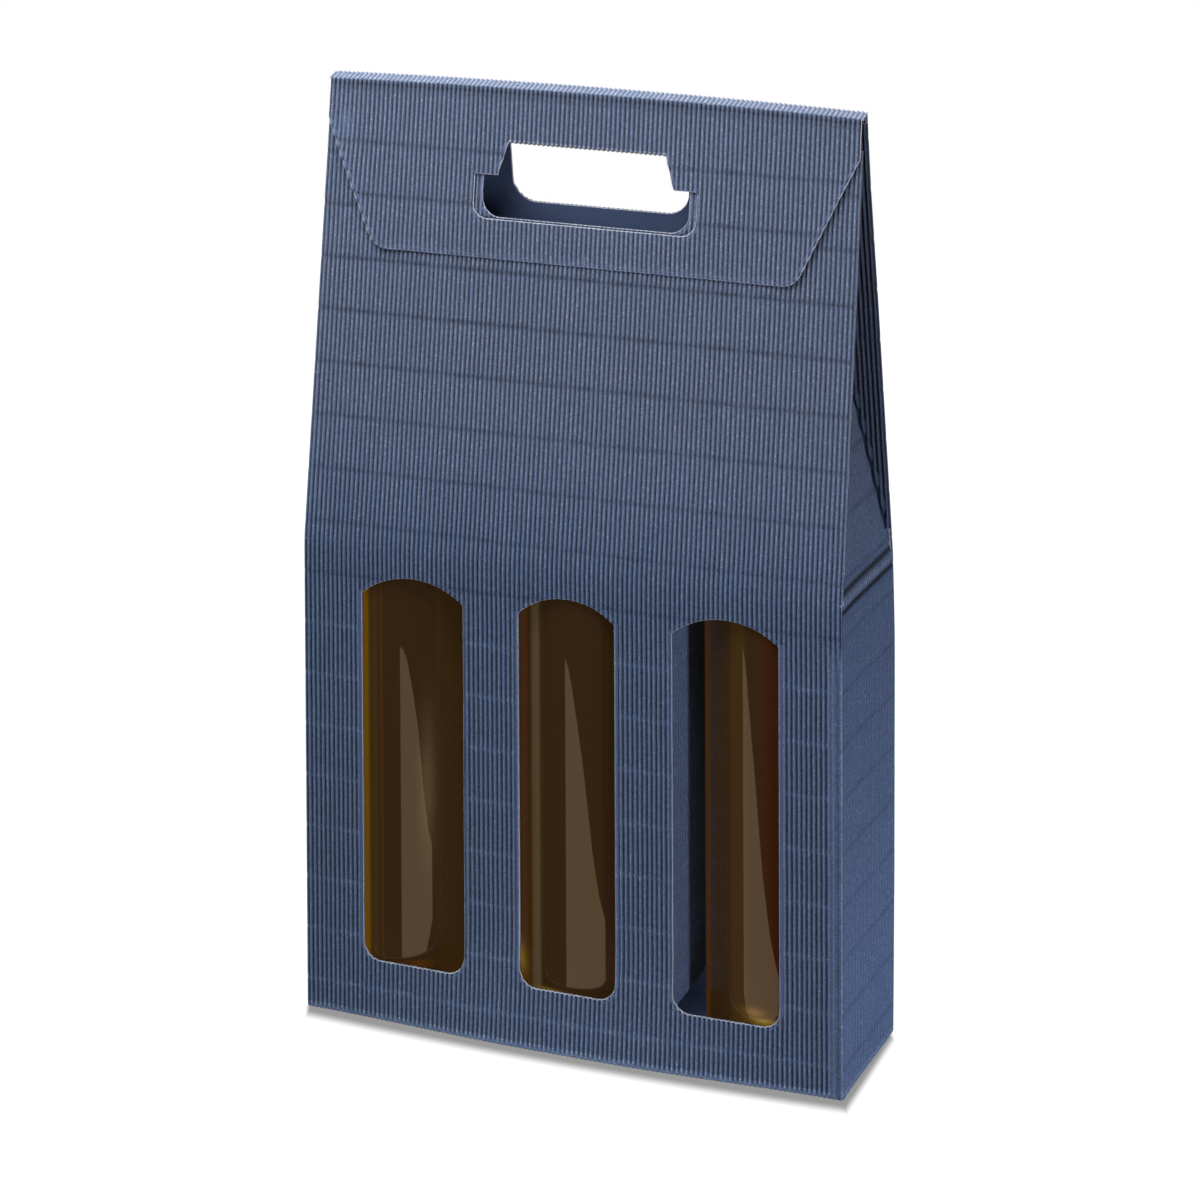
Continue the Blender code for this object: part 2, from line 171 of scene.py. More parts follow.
# The hem that rolls under at the bottom, and the white specks just above it
HEM = [(0.0007, 0.0014, 0.8, 0.0001, (0.85, 1.02)), (0.0029, 0.0005, 0.0, 0.0, (0.1, 1.3))]
# The crushed fold between a side and its gusset, as heights from the fold: the dark bands either side are
# painted shade in the crushed fold, the band on the fold is paler
CREASE = [(0.0040, 0.0012, 0.9, 0.0006, (-0.45, -0.15)), (0.0, 0.0016, 0.3, 0.0, (-0.05, 1.25)),
          (-0.0025, 0.0006, 0.5, 0.0003, (-0.4, -0.1))]
CRUSHED_FROM = HALF - 0.0072
CRUSHED_TOP = 0.210
# Where columns stand along a rounded corner, as shares of its radius
ROUNDED = 1 - np.cos(np.linspace(0, QUARTER, 9))
# The tongue's crease, on the inner face of the flap, and the tongue's own lengths
CREASE_DROP = CUT_TOP + TONGUE_TRIM
CREASE_Y = -RIDGE_DEPTH / 2 - CREASE_DROP * sin(FRONT_LEAN) + BOARD * cos(FRONT_LEAN)
CREASE_Z = HEIGHT - CREASE_DROP * cos(FRONT_LEAN) - BOARD * sin(FRONT_LEAN)
NECK_LENGTH = RIDGE_DEPTH / 2 + (HEIGHT - CREASE_Z + BOARD) * tan(BACK_LEAN) - CREASE_Y + 0.0005
EAR_DROP = CREASE_DROP + NECK_LENGTH
TONGUE_LENGTH = CUT_BOTTOM - CREASE_DROP - TONGUE_TRIM


def linear(code):
    """A colour written as an sRGB hex value, as the linear numbers that Blender wants."""
    srgb = np.array([int(code[i : i + 2], 16) for i in (1, 3, 5)]) / 255
    light = np.where(srgb <= 0.04045, srgb / 12.92, ((srgb + 0.055) / 1.055) ** 2.4)
    return (*light, 1.0)


def add_node(tree, kind, settings=None, **links):
    """A shader node with its settings; each link is a value or another node's output."""
    node = tree.nodes.new(kind)
    for name, value in (settings or {}).items():
        setattr(node, name, value)
    for name, value in links.items():
        key = int(name[1:]) if name[0] == "_" else name.replace("_", " ")
        if isinstance(value, bpy.types.NodeSocket):
            tree.links.new(value, node.inputs[key])
        else:
            node.inputs[key].default_value = value
    return node


def new_material(name, **values):
    """A material, its nodes and its shader, with values for the shader's inputs."""
    material = bpy.data.materials.new(name)
    material.use_nodes = True
    shader = material.node_tree.nodes["Principled BSDF"]
    for key, value in values.items():
        shader.inputs[key.replace("_", " ")].default_value = value
    return material, material.node_tree, shader


def make_fluted_paper():
    """Navy kraft paper on the flutes: dyed through, matt, with painted shade in its valleys and a painted
    highlight on its crests and on some folds.

    The tone is that of the wave plus fibres 0.7 mm long and flecks of 1.6 mm, in clouds of 22 mm.
    The leaning panels are a little greyer than the walls: a painted sheen of the light from above.
    """
    material, tree, shader = new_material("navy fluted kraft paper", Roughness=0.62,
                                          Specular_IOR_Level=0.45)
    place = add_node(tree, "ShaderNodeTexCoord").outputs["Object"]
    tone = add_node(tree, "ShaderNodeAttribute", {"attribute_name": "tone"}).outputs["Fac"]
    fibre = add_node(tree, "ShaderNodeTexNoise", Vector=place, Scale=1450.0, Detail=3.0, Roughness=0.65)
    fleck = add_node(tree, "ShaderNodeTexNoise", Vector=place, Scale=620.0, Detail=2.0)
    cloud = add_node(tree, "ShaderNodeTexNoise", Vector=place, Scale=45.0, Detail=2.0)
    # Painted shade and light: the tone darkens the valleys and lightens the crests, and the fibres are laid
    # over it
    fibred_tone = add_node(tree, "ShaderNodeMath", {"operation": "MULTIPLY_ADD"},
                      _0=fibre.outputs["Fac"], _1=1.1, _2=tone)
    flecked = add_node(tree, "ShaderNodeMath", {"operation": "MULTIPLY_ADD"},
                       _0=fleck.outputs["Fac"], _1=0.4, _2=fibred_tone.outputs[0])
    share = add_node(tree, "ShaderNodeMapRange", Value=flecked.outputs[0], From_Min=0.43, From_Max=2.03)
    ramp = add_node(tree, "ShaderNodeValToRGB", Fac=share.outputs["Result"])
    stops = ramp.color_ramp.elements
    stops[0].color, stops[1].color = linear("#0b101b"), linear("#c3cddf")
    for position, code in ((0.2, "#182133"), (0.825, "#7086b0")):
        stops.new(position).color = linear(code)
    # Painted sheen: above the shoulder the colour is greyed as if it caught the light from above
    height = add_node(tree, "ShaderNodeSeparateXYZ", _0=place).outputs["Z"]
    painted_sheen_share = add_node(tree, "ShaderNodeMapRange", {"interpolation_type": "SMOOTHSTEP"},
                      Value=height, From_Min=0.20, From_Max=0.32)
    tint = add_node(tree, "ShaderNodeMix", {"data_type": "RGBA"}, Factor=painted_sheen_share.outputs["Result"],
                    A=(0.92, 1.0, 1.0, 1), B=(1.06, 0.98, 0.88, 1))
    tinted = add_node(tree, "ShaderNodeVectorMath", {"operation": "MULTIPLY"},
                      _0=ramp.outputs["Color"], _1=tint.outputs["Result"])
    clouded = add_node(tree, "ShaderNodeMapRange", Value=cloud.outputs["Fac"], To_Min=0.93, To_Max=1.07)
    colour = add_node(tree, "ShaderNodeVectorMath", {"operation": "SCALE"},
                      _0=tinted.outputs[0], Scale=clouded.outputs["Result"])
    tree.links.new(colour.outputs[0], shader.inputs["Base Color"])
    felt = add_node(tree, "ShaderNodeBump", Strength=0.35, Distance=0.0001, Height=fibre.outputs["Fac"])
    tree.links.new(felt.outputs["Normal"], shader.inputs["Normal"])
    return material


def make_liner_paper():
    """The same navy kraft on the flat liner, smoother, its fibres, 0.7 mm long, faintly felt."""
    material, tree, shader = new_material("navy kraft liner paper", Roughness=0.6)
    place = add_node(tree, "ShaderNodeTexCoord").outputs["Object"]
    fibre = add_node(tree, "ShaderNodeTexNoise", Vector=place, Scale=1400.0, Detail=3.0)
    ramp = add_node(tree, "ShaderNodeValToRGB", Fac=fibre.outputs["Fac"])
    for stop, (position, code) in zip(ramp.color_ramp.elements, ((0.25, "#526389"), (0.75, "#5b6c93"))):
        stop.position, stop.color = position, linear(code)
    tree.links.new(ramp.outputs["Color"], shader.inputs["Base Color"])
    felt = add_node(tree, "ShaderNodeBump", Strength=0.2, Distance=0.0001, Height=fibre.outputs["Fac"])
    tree.links.new(felt.outputs["Normal"], shader.inputs["Normal"])
    return material


def make_cut_edge():
    """Die-cut paper edges: undyed core showing, and made paler still as a painted highlight along the edges,
    with a fuzz of 0.7 mm.
    """
    material, tree, shader = new_material("die-cut paper edge", Roughness=0.9)
    place = add_node(tree, "ShaderNodeTexCoord").outputs["Object"]
    fuzz = add_node(tree, "ShaderNodeTexNoise", Vector=place, Scale=1500.0, Detail=2.0)
    ramp = add_node(tree, "ShaderNodeValToRGB", Fac=fuzz.outputs["Fac"])
    for stop, (position, code) in zip(ramp.color_ramp.elements, ((0.3, "#a9b5cc"), (0.7, "#f0f4fa"))):
        stop.position, stop.color = position, linear(code)
    tree.links.new(ramp.outputs["Color"], shader.inputs["Base Color"])
    return material


def make_bottle_glass():
    """Amber bottle glass, moulded and fire-polished: brown in the mass, sharp gloss, and painted light.

    The streaks are painted light: glints, reflections and light seen through the glass, and lighter
    glass where shade falls. Its ripples are 36 mm long. Part of the colour is a painted glow: the
    glass gives off its own colour, though it is no lamp, so that it also shows in the shade.
    """
    material, tree, shader = new_material("amber bottle glass", Roughness=0.03, IOR=1.52,
                                          Transmission_Weight=0.35, Emission_Strength=0.14)
    place = add_node(tree, "ShaderNodeTexCoord").outputs["Object"]
    tint = add_node(tree, "ShaderNodeAttribute", {"attribute_name": "tint"}).outputs["Color"]
    reflected = add_node(tree, "ShaderNodeVectorMath", {"operation": "SCALE"}, _0=tint, Scale=0.5)
    tree.links.new(reflected.outputs[0], shader.inputs["Base Color"])
    # Painted glow: the glass gives off its painted colour, though it is no lamp
    tree.links.new(tint, shader.inputs["Emission Color"])
    ripple = add_node(tree, "ShaderNodeTexNoise", Vector=place, Scale=28.0, Detail=1.0)
    felt = add_node(tree, "ShaderNodeBump", Strength=0.05, Distance=0.0005, Height=ripple.outputs["Fac"])
    tree.links.new(felt.outputs["Normal"], shader.inputs["Normal"])
    return material


def make_capsule():
    """Black capsule shrunk over the bottle's mouth: thin satin plastic with fine upright creases.

    The creases are 1.1 mm wide and 11 mm tall.
    """
    material, tree, shader = new_material("black shrink capsule")
    place = add_node(tree, "ShaderNodeTexCoord").outputs["Object"]
    tall = add_node(tree, "ShaderNodeMapping", Vector=place, Scale=(900.0, 900.0, 90.0))
    crease = add_node(tree, "ShaderNodeTexNoise", Vector=tall.outputs[0], Scale=1.0, Detail=2.0)
    colour = add_node(tree, "ShaderNodeMix", {"data_type": "RGBA"}, Factor=crease.outputs["Fac"],
                      A=linear("#1f1f24"), B=linear("#303037"))
    tree.links.new(colour.outputs["Result"], shader.inputs["Base Color"])
    gloss = add_node(tree, "ShaderNodeMapRange", Value=crease.outputs["Fac"], To_Min=0.30, To_Max=0.46)
    tree.links.new(gloss.outputs["Result"], shader.inputs["Roughness"])
    felt = add_node(tree, "ShaderNodeBump", Strength=0.3, Distance=0.0002, Height=crease.outputs["Fac"])
    tree.links.new(felt.outputs["Normal"], shader.inputs["Normal"])
    return material


def mesh_piece(name, points, faces, materials, kinds=None, smooth=None, fields=None, sharp=None):
    """A mesh object at the origin from arrays: faces holds four corners, or three and a -1."""
    mesh = bpy.data.meshes.new(name)
    mesh.vertices.add(len(points))
    mesh.vertices.foreach_set("co", points.astype(np.float32).ravel())
    sides = np.where(faces[:, 3] < 0, 3, 4)
    corners = faces[faces >= 0]
    mesh.loops.add(len(corners))
    mesh.loops.foreach_set("vertex_index", corners.astype(np.int32))
    mesh.polygons.add(len(faces))
    mesh.polygons.foreach_set("loop_start", np.concatenate([[0], np.cumsum(sides)[:-1]]).astype(np.int32))
    for material in materials:
        mesh.materials.append(material)
    if kinds is not None:
        mesh.polygons.foreach_set("material_index", kinds.astype(np.int32))
    shaded = np.ones(len(faces), bool) if smooth is None else smooth
    mesh.polygons.foreach_set("use_smooth", shaded)
    mesh.update(calc_edges=True)
    for field, values in (fields or {}).items():
        kind, key = ("FLOAT", "value") if values.ndim == 1 else ("FLOAT_COLOR", "color")
        layer = mesh.attributes.new(field, kind, "POINT")
        layer.data.foreach_set(key, values.astype(np.float32).ravel())
    if sharp is not None:
        ends = np.zeros(len(mesh.edges) * 2, np.int32)
        mesh.edges.foreach_get("vertices", ends)
        flags = sharp[ends.reshape(-1, 2)].all(axis=1)
        mesh.attributes.new("sharp_edge", "BOOLEAN", "EDGE").data.foreach_set("value", flags)
    mesh.validate()
    piece = bpy.data.objects.new(name, mesh)
    bpy.context.scene.collection.objects.link(piece)
    return piece


def roll(place, start, end):
    """Carries a distance along a sheet round its rolled ends.

    start and end are (where the roll begins, radius) or None. Gives the distance along the
    panel's plane, the drop below it, and the tilt of the sheet there.
    """
    along, drop, tilt = place.copy(), np.zeros_like(place), np.zeros_like(place)
    for limit, side in ((start, -1), (end, 1)):
        if limit is None:
            continue
        begin, radius = limit
        past = side * (place - begin) > 0
        turn = np.abs(place[past] - begin) / radius
        along[past] = begin + side * radius * np.sin(turn)
        drop[past] = radius * (1 - np.cos(turn))
        tilt[past] = side * turn
    return along, drop, tilt


def swell(points):
    """How the loaded carton bulges: its back right corner sideways, its front low down, its ridge up.

    Each bulge falls off as smooth steps across the carton and as straight lines up it.
    """
    def step(values, start, end):
        share = np.clip((values - start) / (end - start), 0, 1)
        return share * share * (3 - 2 * share)

    x, y, z = points.T
    side = np.interp(z, *SIDE_BULGE) * step(x, 0.03, HALF) * step(y, -0.03, DEPTH / 2)
    belly = np.interp(z, *FRONT_BULGE) * (1 - step(np.abs(x), 0.02, HALF)) * step(-y, -0.01, DEPTH / 2)
    bow = RIDGE_BOW * (1 - np.clip(x / HALF, -1, 1) ** 2) * step(z, HEIGHT - 0.018, HEIGHT)
    return points + np.stack([side, -belly, bow], -1)


def clean_faces(faces):
    """Quads whose corners coincide become triangles, or go."""
    keep = faces != np.roll(faces, 1, axis=1)
    count = keep.sum(axis=1)
    quads = faces[count == 4]
    quads = quads[(quads[:, 0] != quads[:, 2]) & (quads[:, 1] != quads[:, 3])]
    thirds = faces[count == 3]
    kept = thirds[keep[count == 3]].reshape(-1, 3)
    kept = kept[(kept[:, 0] != kept[:, 1]) & (kept[:, 1] != kept[:, 2]) & (kept[:, 0] != kept[:, 2])]
    return np.vstack([quads, np.column_stack([kept, np.full(len(kept), -1)])]).astype(np.int64)


def used_only(count, faces):
    """Which of count points the faces use, and the faces numbered by those alone."""
    used = np.zeros(count, bool)
    used[faces[faces >= 0]] = True
    return used, np.where(faces < 0, -1, (np.cumsum(used) - 1)[faces])


def grid_faces(rows, columns, first=0):
    """The quads between points that are numbered along the rows of a grid."""
    index = first + np.arange(rows * columns).reshape(rows, columns)
    return np.stack([index[:-1, :-1], index[:-1, 1:], index[1:, 1:], index[1:, :-1]], -1).reshape(-1, 4)


def flat_sheet(columns, levels, bands):
    """The outline as a flat grid: in each band the rows are levels held between its two edges.

    bands: (first column, last column, low, high), low and high as arrays over all columns.
    Gives the (a, b) points, the faces, and the points on each band's low and high edges.
    """
    points, faces, slats, count = [], [], [], 0
    for first, last, low, high in bands:
        part = slice(first, last + 1)
        a, low, high = columns[part], low[part], high[part]
        rows = np.unique(np.concatenate([levels, [low.min(), high.max()]]))
        b = np.clip(rows[:, None], low[None, :], high[None, :])
        points.append(np.stack([np.broadcast_to(a, b.shape), b], -1).reshape(-1, 2))
        faces.append(grid_faces(*b.shape, count))
        ends = count + np.array([np.zeros(len(a), int), np.full(len(a), len(rows) - 1)]) * len(a)
        slats.append(ends + np.arange(len(a)))
        count += b.size
    points, faces = np.vstack(points), np.vstack(faces)
    _, kept, index = np.unique(np.round(points * 1e7).astype(np.int64), axis=0,
                               return_index=True, return_inverse=True)
    index = index.reshape(-1)
    return points[kept], clean_faces(index[faces]), [index[ends] for ends in slats]


def border(points, faces):
    """The directed edges that only one face has, and each border point's way into the sheet."""
    corners = np.where(faces[:, 3:4] < 0, faces[:, [0, 1, 2, 2]], faces)
    edges = np.vstack([np.stack([corners[:, i], corners[:, (i + 1) % 4]], -1) for i in range(4)])
    edges = edges[edges[:, 0] != edges[:, 1]]
    _, index, count = np.unique(np.sort(edges, axis=1), axis=0, return_inverse=True, return_counts=True)
    edges = edges[count[index.reshape(-1)] == 1]
    run = points[edges[:, 1]] - points[edges[:, 0]]
    inward = np.stack([-run[:, 1], run[:, 0]], -1)
    inward /= np.linalg.norm(inward, axis=1, keepdims=True)
    way = np.zeros_like(points)
    np.add.at(way, edges[:, 0], inward)
    np.add.at(way, edges[:, 1], inward)
    length = np.linalg.norm(way, axis=1, keepdims=True)
    return edges, np.divide(way, length, out=np.zeros_like(way), where=length > 1e-9)


def flute_depth(a, b, pitch, edge, lines, creases, powers):
    """How far the fluted paper lies below its crests, and its tone.

    The wave is (1 + cos) / 2 to a power, higher where the crests are narrower. The pressed
    lines push it aside, sink its crests and tone it, and the creases crush, sink and tone it,
    each by a share that falls off from its line as a bell curve.
    """
    patchy = 0.80 + 0.25 * np.sin(a * 190 + 3.0 * np.sin(a * 71)) * np.sin(a * 47 + 1.3)
    shares = [share * patchy * np.exp(-(((b - place) / PRESS_WIDTH) ** 2)) for place, share, _ in lines]
    press = sum(shares, np.zeros_like(a))
    sway = 0.00005 * np.sin(b * 140 + 4 * np.sin(a * 33)) + PRESS_SHIFT * press
    phase = 2 * pi * (a - edge + sway) / pitch
    wave = ((1 + np.cos(phase)) / 2) ** (np.interp(b, *powers) if powers else CREST_POWER)
    uneven = 1 + 0.05 * np.sin(np.round((a - edge) / pitch) * 2.4 + b * 25)
    depth = FLUTE_DEPTH * (1 - wave) * uneven + PRESS_DEPTH * press * wave
    # The tone follows the wave: the valleys are painted dark as shade, the crests light
    tone = wave
    for share, (_, _, (low, high)) in zip(shares, lines):
        tone = tone + share * (low + (high - low) * wave - tone)
    for place, width, crush, sunk, (low, high) in creases:
        share = np.exp(-(((b - place) / width) ** 2))
        depth = depth * (1 - crush * share) + sunk * share
        tone = tone + share * (low + (high - low) * wave - tone)
    return depth, tone


def crush_corner(a, b, depth, tone):
    """The last flutes before the front wall's right corner, ironed flat up to the shoulder."""
    share = np.clip((a - CRUSHED_FROM) / 0.0006, 0, 1) * np.clip((CRUSHED_TOP - b) / 0.012, 0, 1)
    depth = depth * (1 - 0.75 * share) + 0.00015 * share
    tone = tone + share * (0.50 + 0.35 * tone - tone)
    for place, width, toned in ((HALF - 0.0024, 0.0004, 0.25), (HALF - 0.0008, 0.0004, 1.1)):
        near_line = np.exp(-(((a - place) / width) ** 2)) * np.clip((CRUSHED_TOP - b) / 0.012, 0, 1)
        tone = tone + near_line * (toned - tone)
    return depth, tone


def board(name, body, axes, columns, bands, pitch, edge, lines=(), creases=(), fold=None,
          ends=(None, None), sides=(None, None), levels=(), lip=LIP, powers=None, finish=None,
          stand=None, bend=None):
    """One panel of single-faced board, closed, from its flat outline.

    axes: origin on the outer face, across, along and outward directions. ends and sides are
    the rolls along b and a. fold(a, b) says which border points lie on a fold and not a cut.
    lines are (place, share, tones) and creases (place, width, crush, sunk, tones), along b.
    stand(a, b) is how far the sheet stands off its plane. bend: where the sheet comes over a
    joint, the body it comes from, and the points where the bending starts and ends; these values are not
    used, and a piece given a bend is not bent but left on no body, its place baked into its mesh.
    """
    origin, across, along, outward = (np.array(v, float) for v in axes)
    rows = [line[0] + step * PRESS_WIDTH for line in lines for step in (-2, -1, -0.4, 0.4, 1, 2)]
    for place, width, *_ in creases:
        rows += [place + step * width for step in (-1.6, -0.8, 0, 0.8, 1.6)]
    for limit, side in ((ends[0], -1), (ends[1], 1)):
        if limit is not None:
            begin, radius, turn = limit
            rows += [begin + side * radius * turn * i / FOLD_STEPS for i in range(FOLD_STEPS + 1)]
    flat, faces, slats = flat_sheet(columns, np.unique(np.array(list(rows) + list(levels))), bands)
    edges, way = border(flat, faces)
    limits = [None if limit is None else limit[:2] for limit in (*sides, *ends)]

    def carried(points, level, stiff=False):
        a, drop_a, tilt_a = roll(points[:, 0], *limits[:2])
        b, drop_b, tilt_b = roll(points[:, 1], *limits[2:])
        if stiff:  # the liner stays flat behind a tight fold and meets its neighbour there
            for i, values in enumerate((a, b)):
                values[:] = points[:, i]
                for limit, hold in ((limits[2 * i], np.maximum), (limits[2 * i + 1], np.minimum)):
                    if limit is not None and limit[1] < TIGHTEST_LINER:
                        values[:] = hold(values, limit[0])
            drop_a[:], drop_b[:], tilt_a[:], tilt_b[:] = 0, 0, 0, 0
        lean = np.stack([np.sin(tilt_a), np.sin(tilt_b), np.cos(tilt_a) * np.cos(tilt_b)], -1)
        lean /= np.linalg.norm(lean, axis=1, keepdims=True)
        off = stand(points[:, 0], points[:, 1]) if stand else 0.0
        local = np.stack([a, b, off - drop_a - drop_b], -1) - lean * level[:, None]
        return origin + local @ np.stack([across, along, outward])

    depth, tone = flute_depth(flat[:, 0], flat[:, 1], pitch, edge, lines, creases, powers)
    if finish:
        depth, tone = finish(flat[:, 0], flat[:, 1], depth, tone)
    depth = np.minimum(depth, BOARD - LINER - PAPER - HOLLOW)
    rim = np.unique(edges)
    folded = fold(flat[rim, 0], flat[rim, 1]) if fold else np.zeros(len(rim), bool)
    outline, inward, under = flat[rim], way[rim], depth[rim] + PAPER
    proud, deep = outline - inward * lip, outline + inward * TUNNEL
    full = np.full(len(rim), BOARD)
    rings = (
        (proud, np.minimum(depth[rim] + lip, under), False), (proud, under, False),
        (deep, under, True), (deep, full - LINER, True), (proud, full - LINER, True),
        (proud, full - LIP, True), (outline, full, True),
    )
    slat_ends = np.unique(np.concatenate([pair.ravel() for pair in slats]))
    inner = np.setdiff1d(slat_ends, rim)
    points = [carried(flat, depth)] + [carried(*ring) for ring in rings]
    points.append(carried(flat[inner], np.full(len(inner), BOARD), True))
    offsets = len(flat) + np.arange(len(rings)) * len(rim)
    index = np.vstack([rim] + [first + np.arange(len(rim)) for first in offsets])
    index[1:-1, folded] = rim[folded]

    # The liner is cut into slats between each band's edges, so the last ring keeps only their ends.
    held = np.isin(rim, slat_ends)
    order = np.lexsort((outline[:, 1], np.round(outline[:, 0] * 1e7)))
    last = np.maximum.accumulate(np.where(held[order], np.arange(len(order)), 0))
    index[-1, order] = index[-1, order[last]]

    all_faces, kinds = [faces], [np.zeros(len(faces), int)]

    def add_strip(corners, kind):
        strip = clean_faces(np.stack(corners, -1))
        all_faces.append(strip)
        kinds.append(np.full(len(strip), kind))

    start, stop = np.searchsorted(rim, edges.T)
    # From the flutes over the paper's edge into the tunnel, and out again over the liner's
    for ring, kind in enumerate((1, 1, 2, 2, 2, 1, 1)):
        here, there = index[ring], index[ring + 1]
        add_strip([here[stop], here[start], there[start], there[stop]], kind)
    liner_of = np.full(len(flat), -1)
    liner_of[rim] = index[-1]
    liner_of[inner] = len(flat) + len(rings) * len(rim) + np.arange(len(inner))
    for pair in slats:
        low, high = liner_of[pair]
        add_strip([low[:-1], high[:-1], high[1:], low[1:]], 2)
    points, all_faces, kinds = swell(np.vstack(points)), np.vstack(all_faces), np.concatenate(kinds)
    tones, sharp = np.zeros(len(points)), np.zeros(len(points), bool)
    tones[: len(flat)] = tone
    sharp[rim[~folded]] = True
    used, all_faces = used_only(len(points), all_faces)
    piece = mesh_piece(f"fluted_{name}", points[used], all_faces, (fluted_paper, cut_edge, liner_paper),
                       kinds, kinds == 0, {"tone": tones[used]}, sharp[used])
    if bend:
        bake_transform(piece)
    else:
        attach(piece, body)
    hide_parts(name)
    return piece


def flute_columns(low, high, pitch, extra=()):
    """Where the grid's columns stand: eight to a flute, and at every edge of the outline."""
    steps = max(2, round((high - low) / pitch * FLUTE_STEPS))
    columns = np.concatenate([np.linspace(low, high, steps + 1), np.array(list(extra), float)])
    columns = np.unique(np.round(columns, 8))
    apart = np.concatenate([[True], np.diff(columns) > 2e-5])
    keep = apart | np.isin(columns, np.round(np.array(list(extra), float), 8))
    return columns[keep]


def column_at(columns, place):
    """The number of the column that is nearest to a place."""
    return int(np.argmin(np.abs(columns - place)))


def steps_between(low, high, most):
    """Even steps from low to high, no more than most apart."""
    return list(np.linspace(low, high, max(2, int(np.ceil((high - low) / most)) + 1)))


def near(value, target, within=1e-6):
    return np.abs(value - target) < within


def everywhere(a, b):
    """For a panel whose whole border lies on folds."""
    return np.ones(len(a), bool)


def rectangle(columns, low, high):
    """One band over all the columns."""
    return [(0, len(columns) - 1, np.full(len(columns), low), np.full(len(columns), high))]


def rounded(into, radius):
    """How far a rounded corner reaches beyond its centre, at a distance into it from its side."""
    return np.sqrt(radius**2 - np.clip(radius - into, 0, radius) ** 2)


def arch(x, half):
    """The height of a window's arch, x from its middle: an arc through the springs and the crown."""
    radius = (half**2 + ARCH_RISE**2) / (2 * ARCH_RISE)
    return SPRING + ARCH_RISE - radius + np.sqrt(radius**2 - x**2)


def gable_bend(radius, lean, on_wall=False):
    """A panel's half of the bend at the shoulder crease: where its sheet ends, and its roll."""
    flat, run = radius * tan(lean / 2), radius * lean / 2
    if on_wall:
        return BODY_HEIGHT - flat + run, (BODY_HEIGHT - flat, radius, lean / 2)
    return flat - run, (flat, radius, lean / 2)


def walls():
    """Front, back and sides. They meet in rounded corner folds and bend softly into the gable."""
    bottom = CORNER_FOLD * (1 - QUARTER)
    hem_roll = (CORNER_FOLD, CORNER_FOLD, QUARTER)
    powers = (0.185, BODY_HEIGHT), (WALL_CREST_POWER, BEND_CREST_POWER)

    reach = CORNER_START + CORNER_RUN
    top, bend_roll = gable_bend(BEND, FRONT_LEAN, True)
    corners = [edge for window in WINDOWS for edge in window]
    columns = flute_columns(-reach, reach, FRONT_PITCH, corners)
    columns = np.unique(np.round(np.concatenate([columns, *[
        np.concatenate([low + WINDOW_CORNER * ROUNDED, high - WINDOW_CORNER * ROUNDED])
        for low, high in WINDOWS]]), 8))
    sill_side = SILL + WINDOW_CORNER
    lower, upper = np.full(len(columns), sill_side), np.full(len(columns), SPRING)
    for low, high in WINDOWS:
        inside = (columns >= low - 1e-9) & (columns <= high + 1e-9)
        x = columns[inside]
        lower[inside] = sill_side - rounded(np.minimum(x - low, high - x), WINDOW_CORNER)
        upper[inside] = arch(x - (low + high) / 2, (high - low) / 2)
    (_, count, lowest, highest), = rectangle(columns, bottom, top)
    (_, _, side_low, side_high), = rectangle(columns, sill_side, SPRING)
    bands = [(0, count, lowest, lower), (0, count, upper, highest)]
    pillars = [-reach, *corners, reach]
    for left, right in zip(pillars[::2], pillars[1::2]):
        bands.append((column_at(columns, left), column_at(columns, right), side_low, side_high))
    levels = [sill_side, SPRING, *steps_between(0, BODY_HEIGHT, 0.009)]
    fold = lambda a, b: near(np.abs(a), reach) | near(b, bottom) | near(b, top)
    sides = ((-CORNER_START, CORNER_FOLD), (CORNER_START, CORNER_FOLD))
    board("front_wall", "carton", ((0, -DEPTH / 2, 0), (1, 0, 0), UP, (0, -1, 0)), columns, bands,
          FRONT_PITCH, HALF, WALL_LINES, HEM, fold, (hem_roll, bend_roll), sides, levels,
          powers=powers, finish=crush_corner)

    creases = [*HEM, *((BODY_HEIGHT - place, *rest) for place, *rest in CREASE)]
    side_look = (DEPTH / 2, SIDE_PITCH, GUSSET_BEND, GUSSET_LEAN, SIDE_LINES, creases, None)
    for name, x, y, across, half, pitch, radius, lean, lines, creased, crests in (
        ("back_wall", 0, DEPTH / 2, (-1, 0, 0), HALF, FRONT_PITCH, BEND, BACK_LEAN, WALL_LINES, HEM, powers),
        ("right_wall", HALF, 0, (0, 1, 0), *side_look),
        ("left_wall", -HALF, 0, (0, -1, 0), *side_look),
    ):
        start = half - CORNER_FOLD
        reach = start + CORNER_RUN
        top, bend_roll = gable_bend(radius, lean, True)
        columns = flute_columns(-reach, reach, pitch)
        board(name, "carton", ((x, y, 0), across, UP, np.cross(across, UP)), columns,
              rectangle(columns, bottom, top), pitch, half, lines, creased, everywhere,
              (hem_roll, bend_roll), ((-start, CORNER_FOLD), (start, CORNER_FOLD)),
              steps_between(0, BODY_HEIGHT, 0.012), powers=crests)


def slope_axes(lean, back=False):
    """Across, along and outward for a panel that leans in from the top of a wall."""
    turn = -1 if back else 1
    return (turn, 0, 0), (0, turn * sin(lean), cos(lean)), (0, -turn * cos(lean), sin(lean))


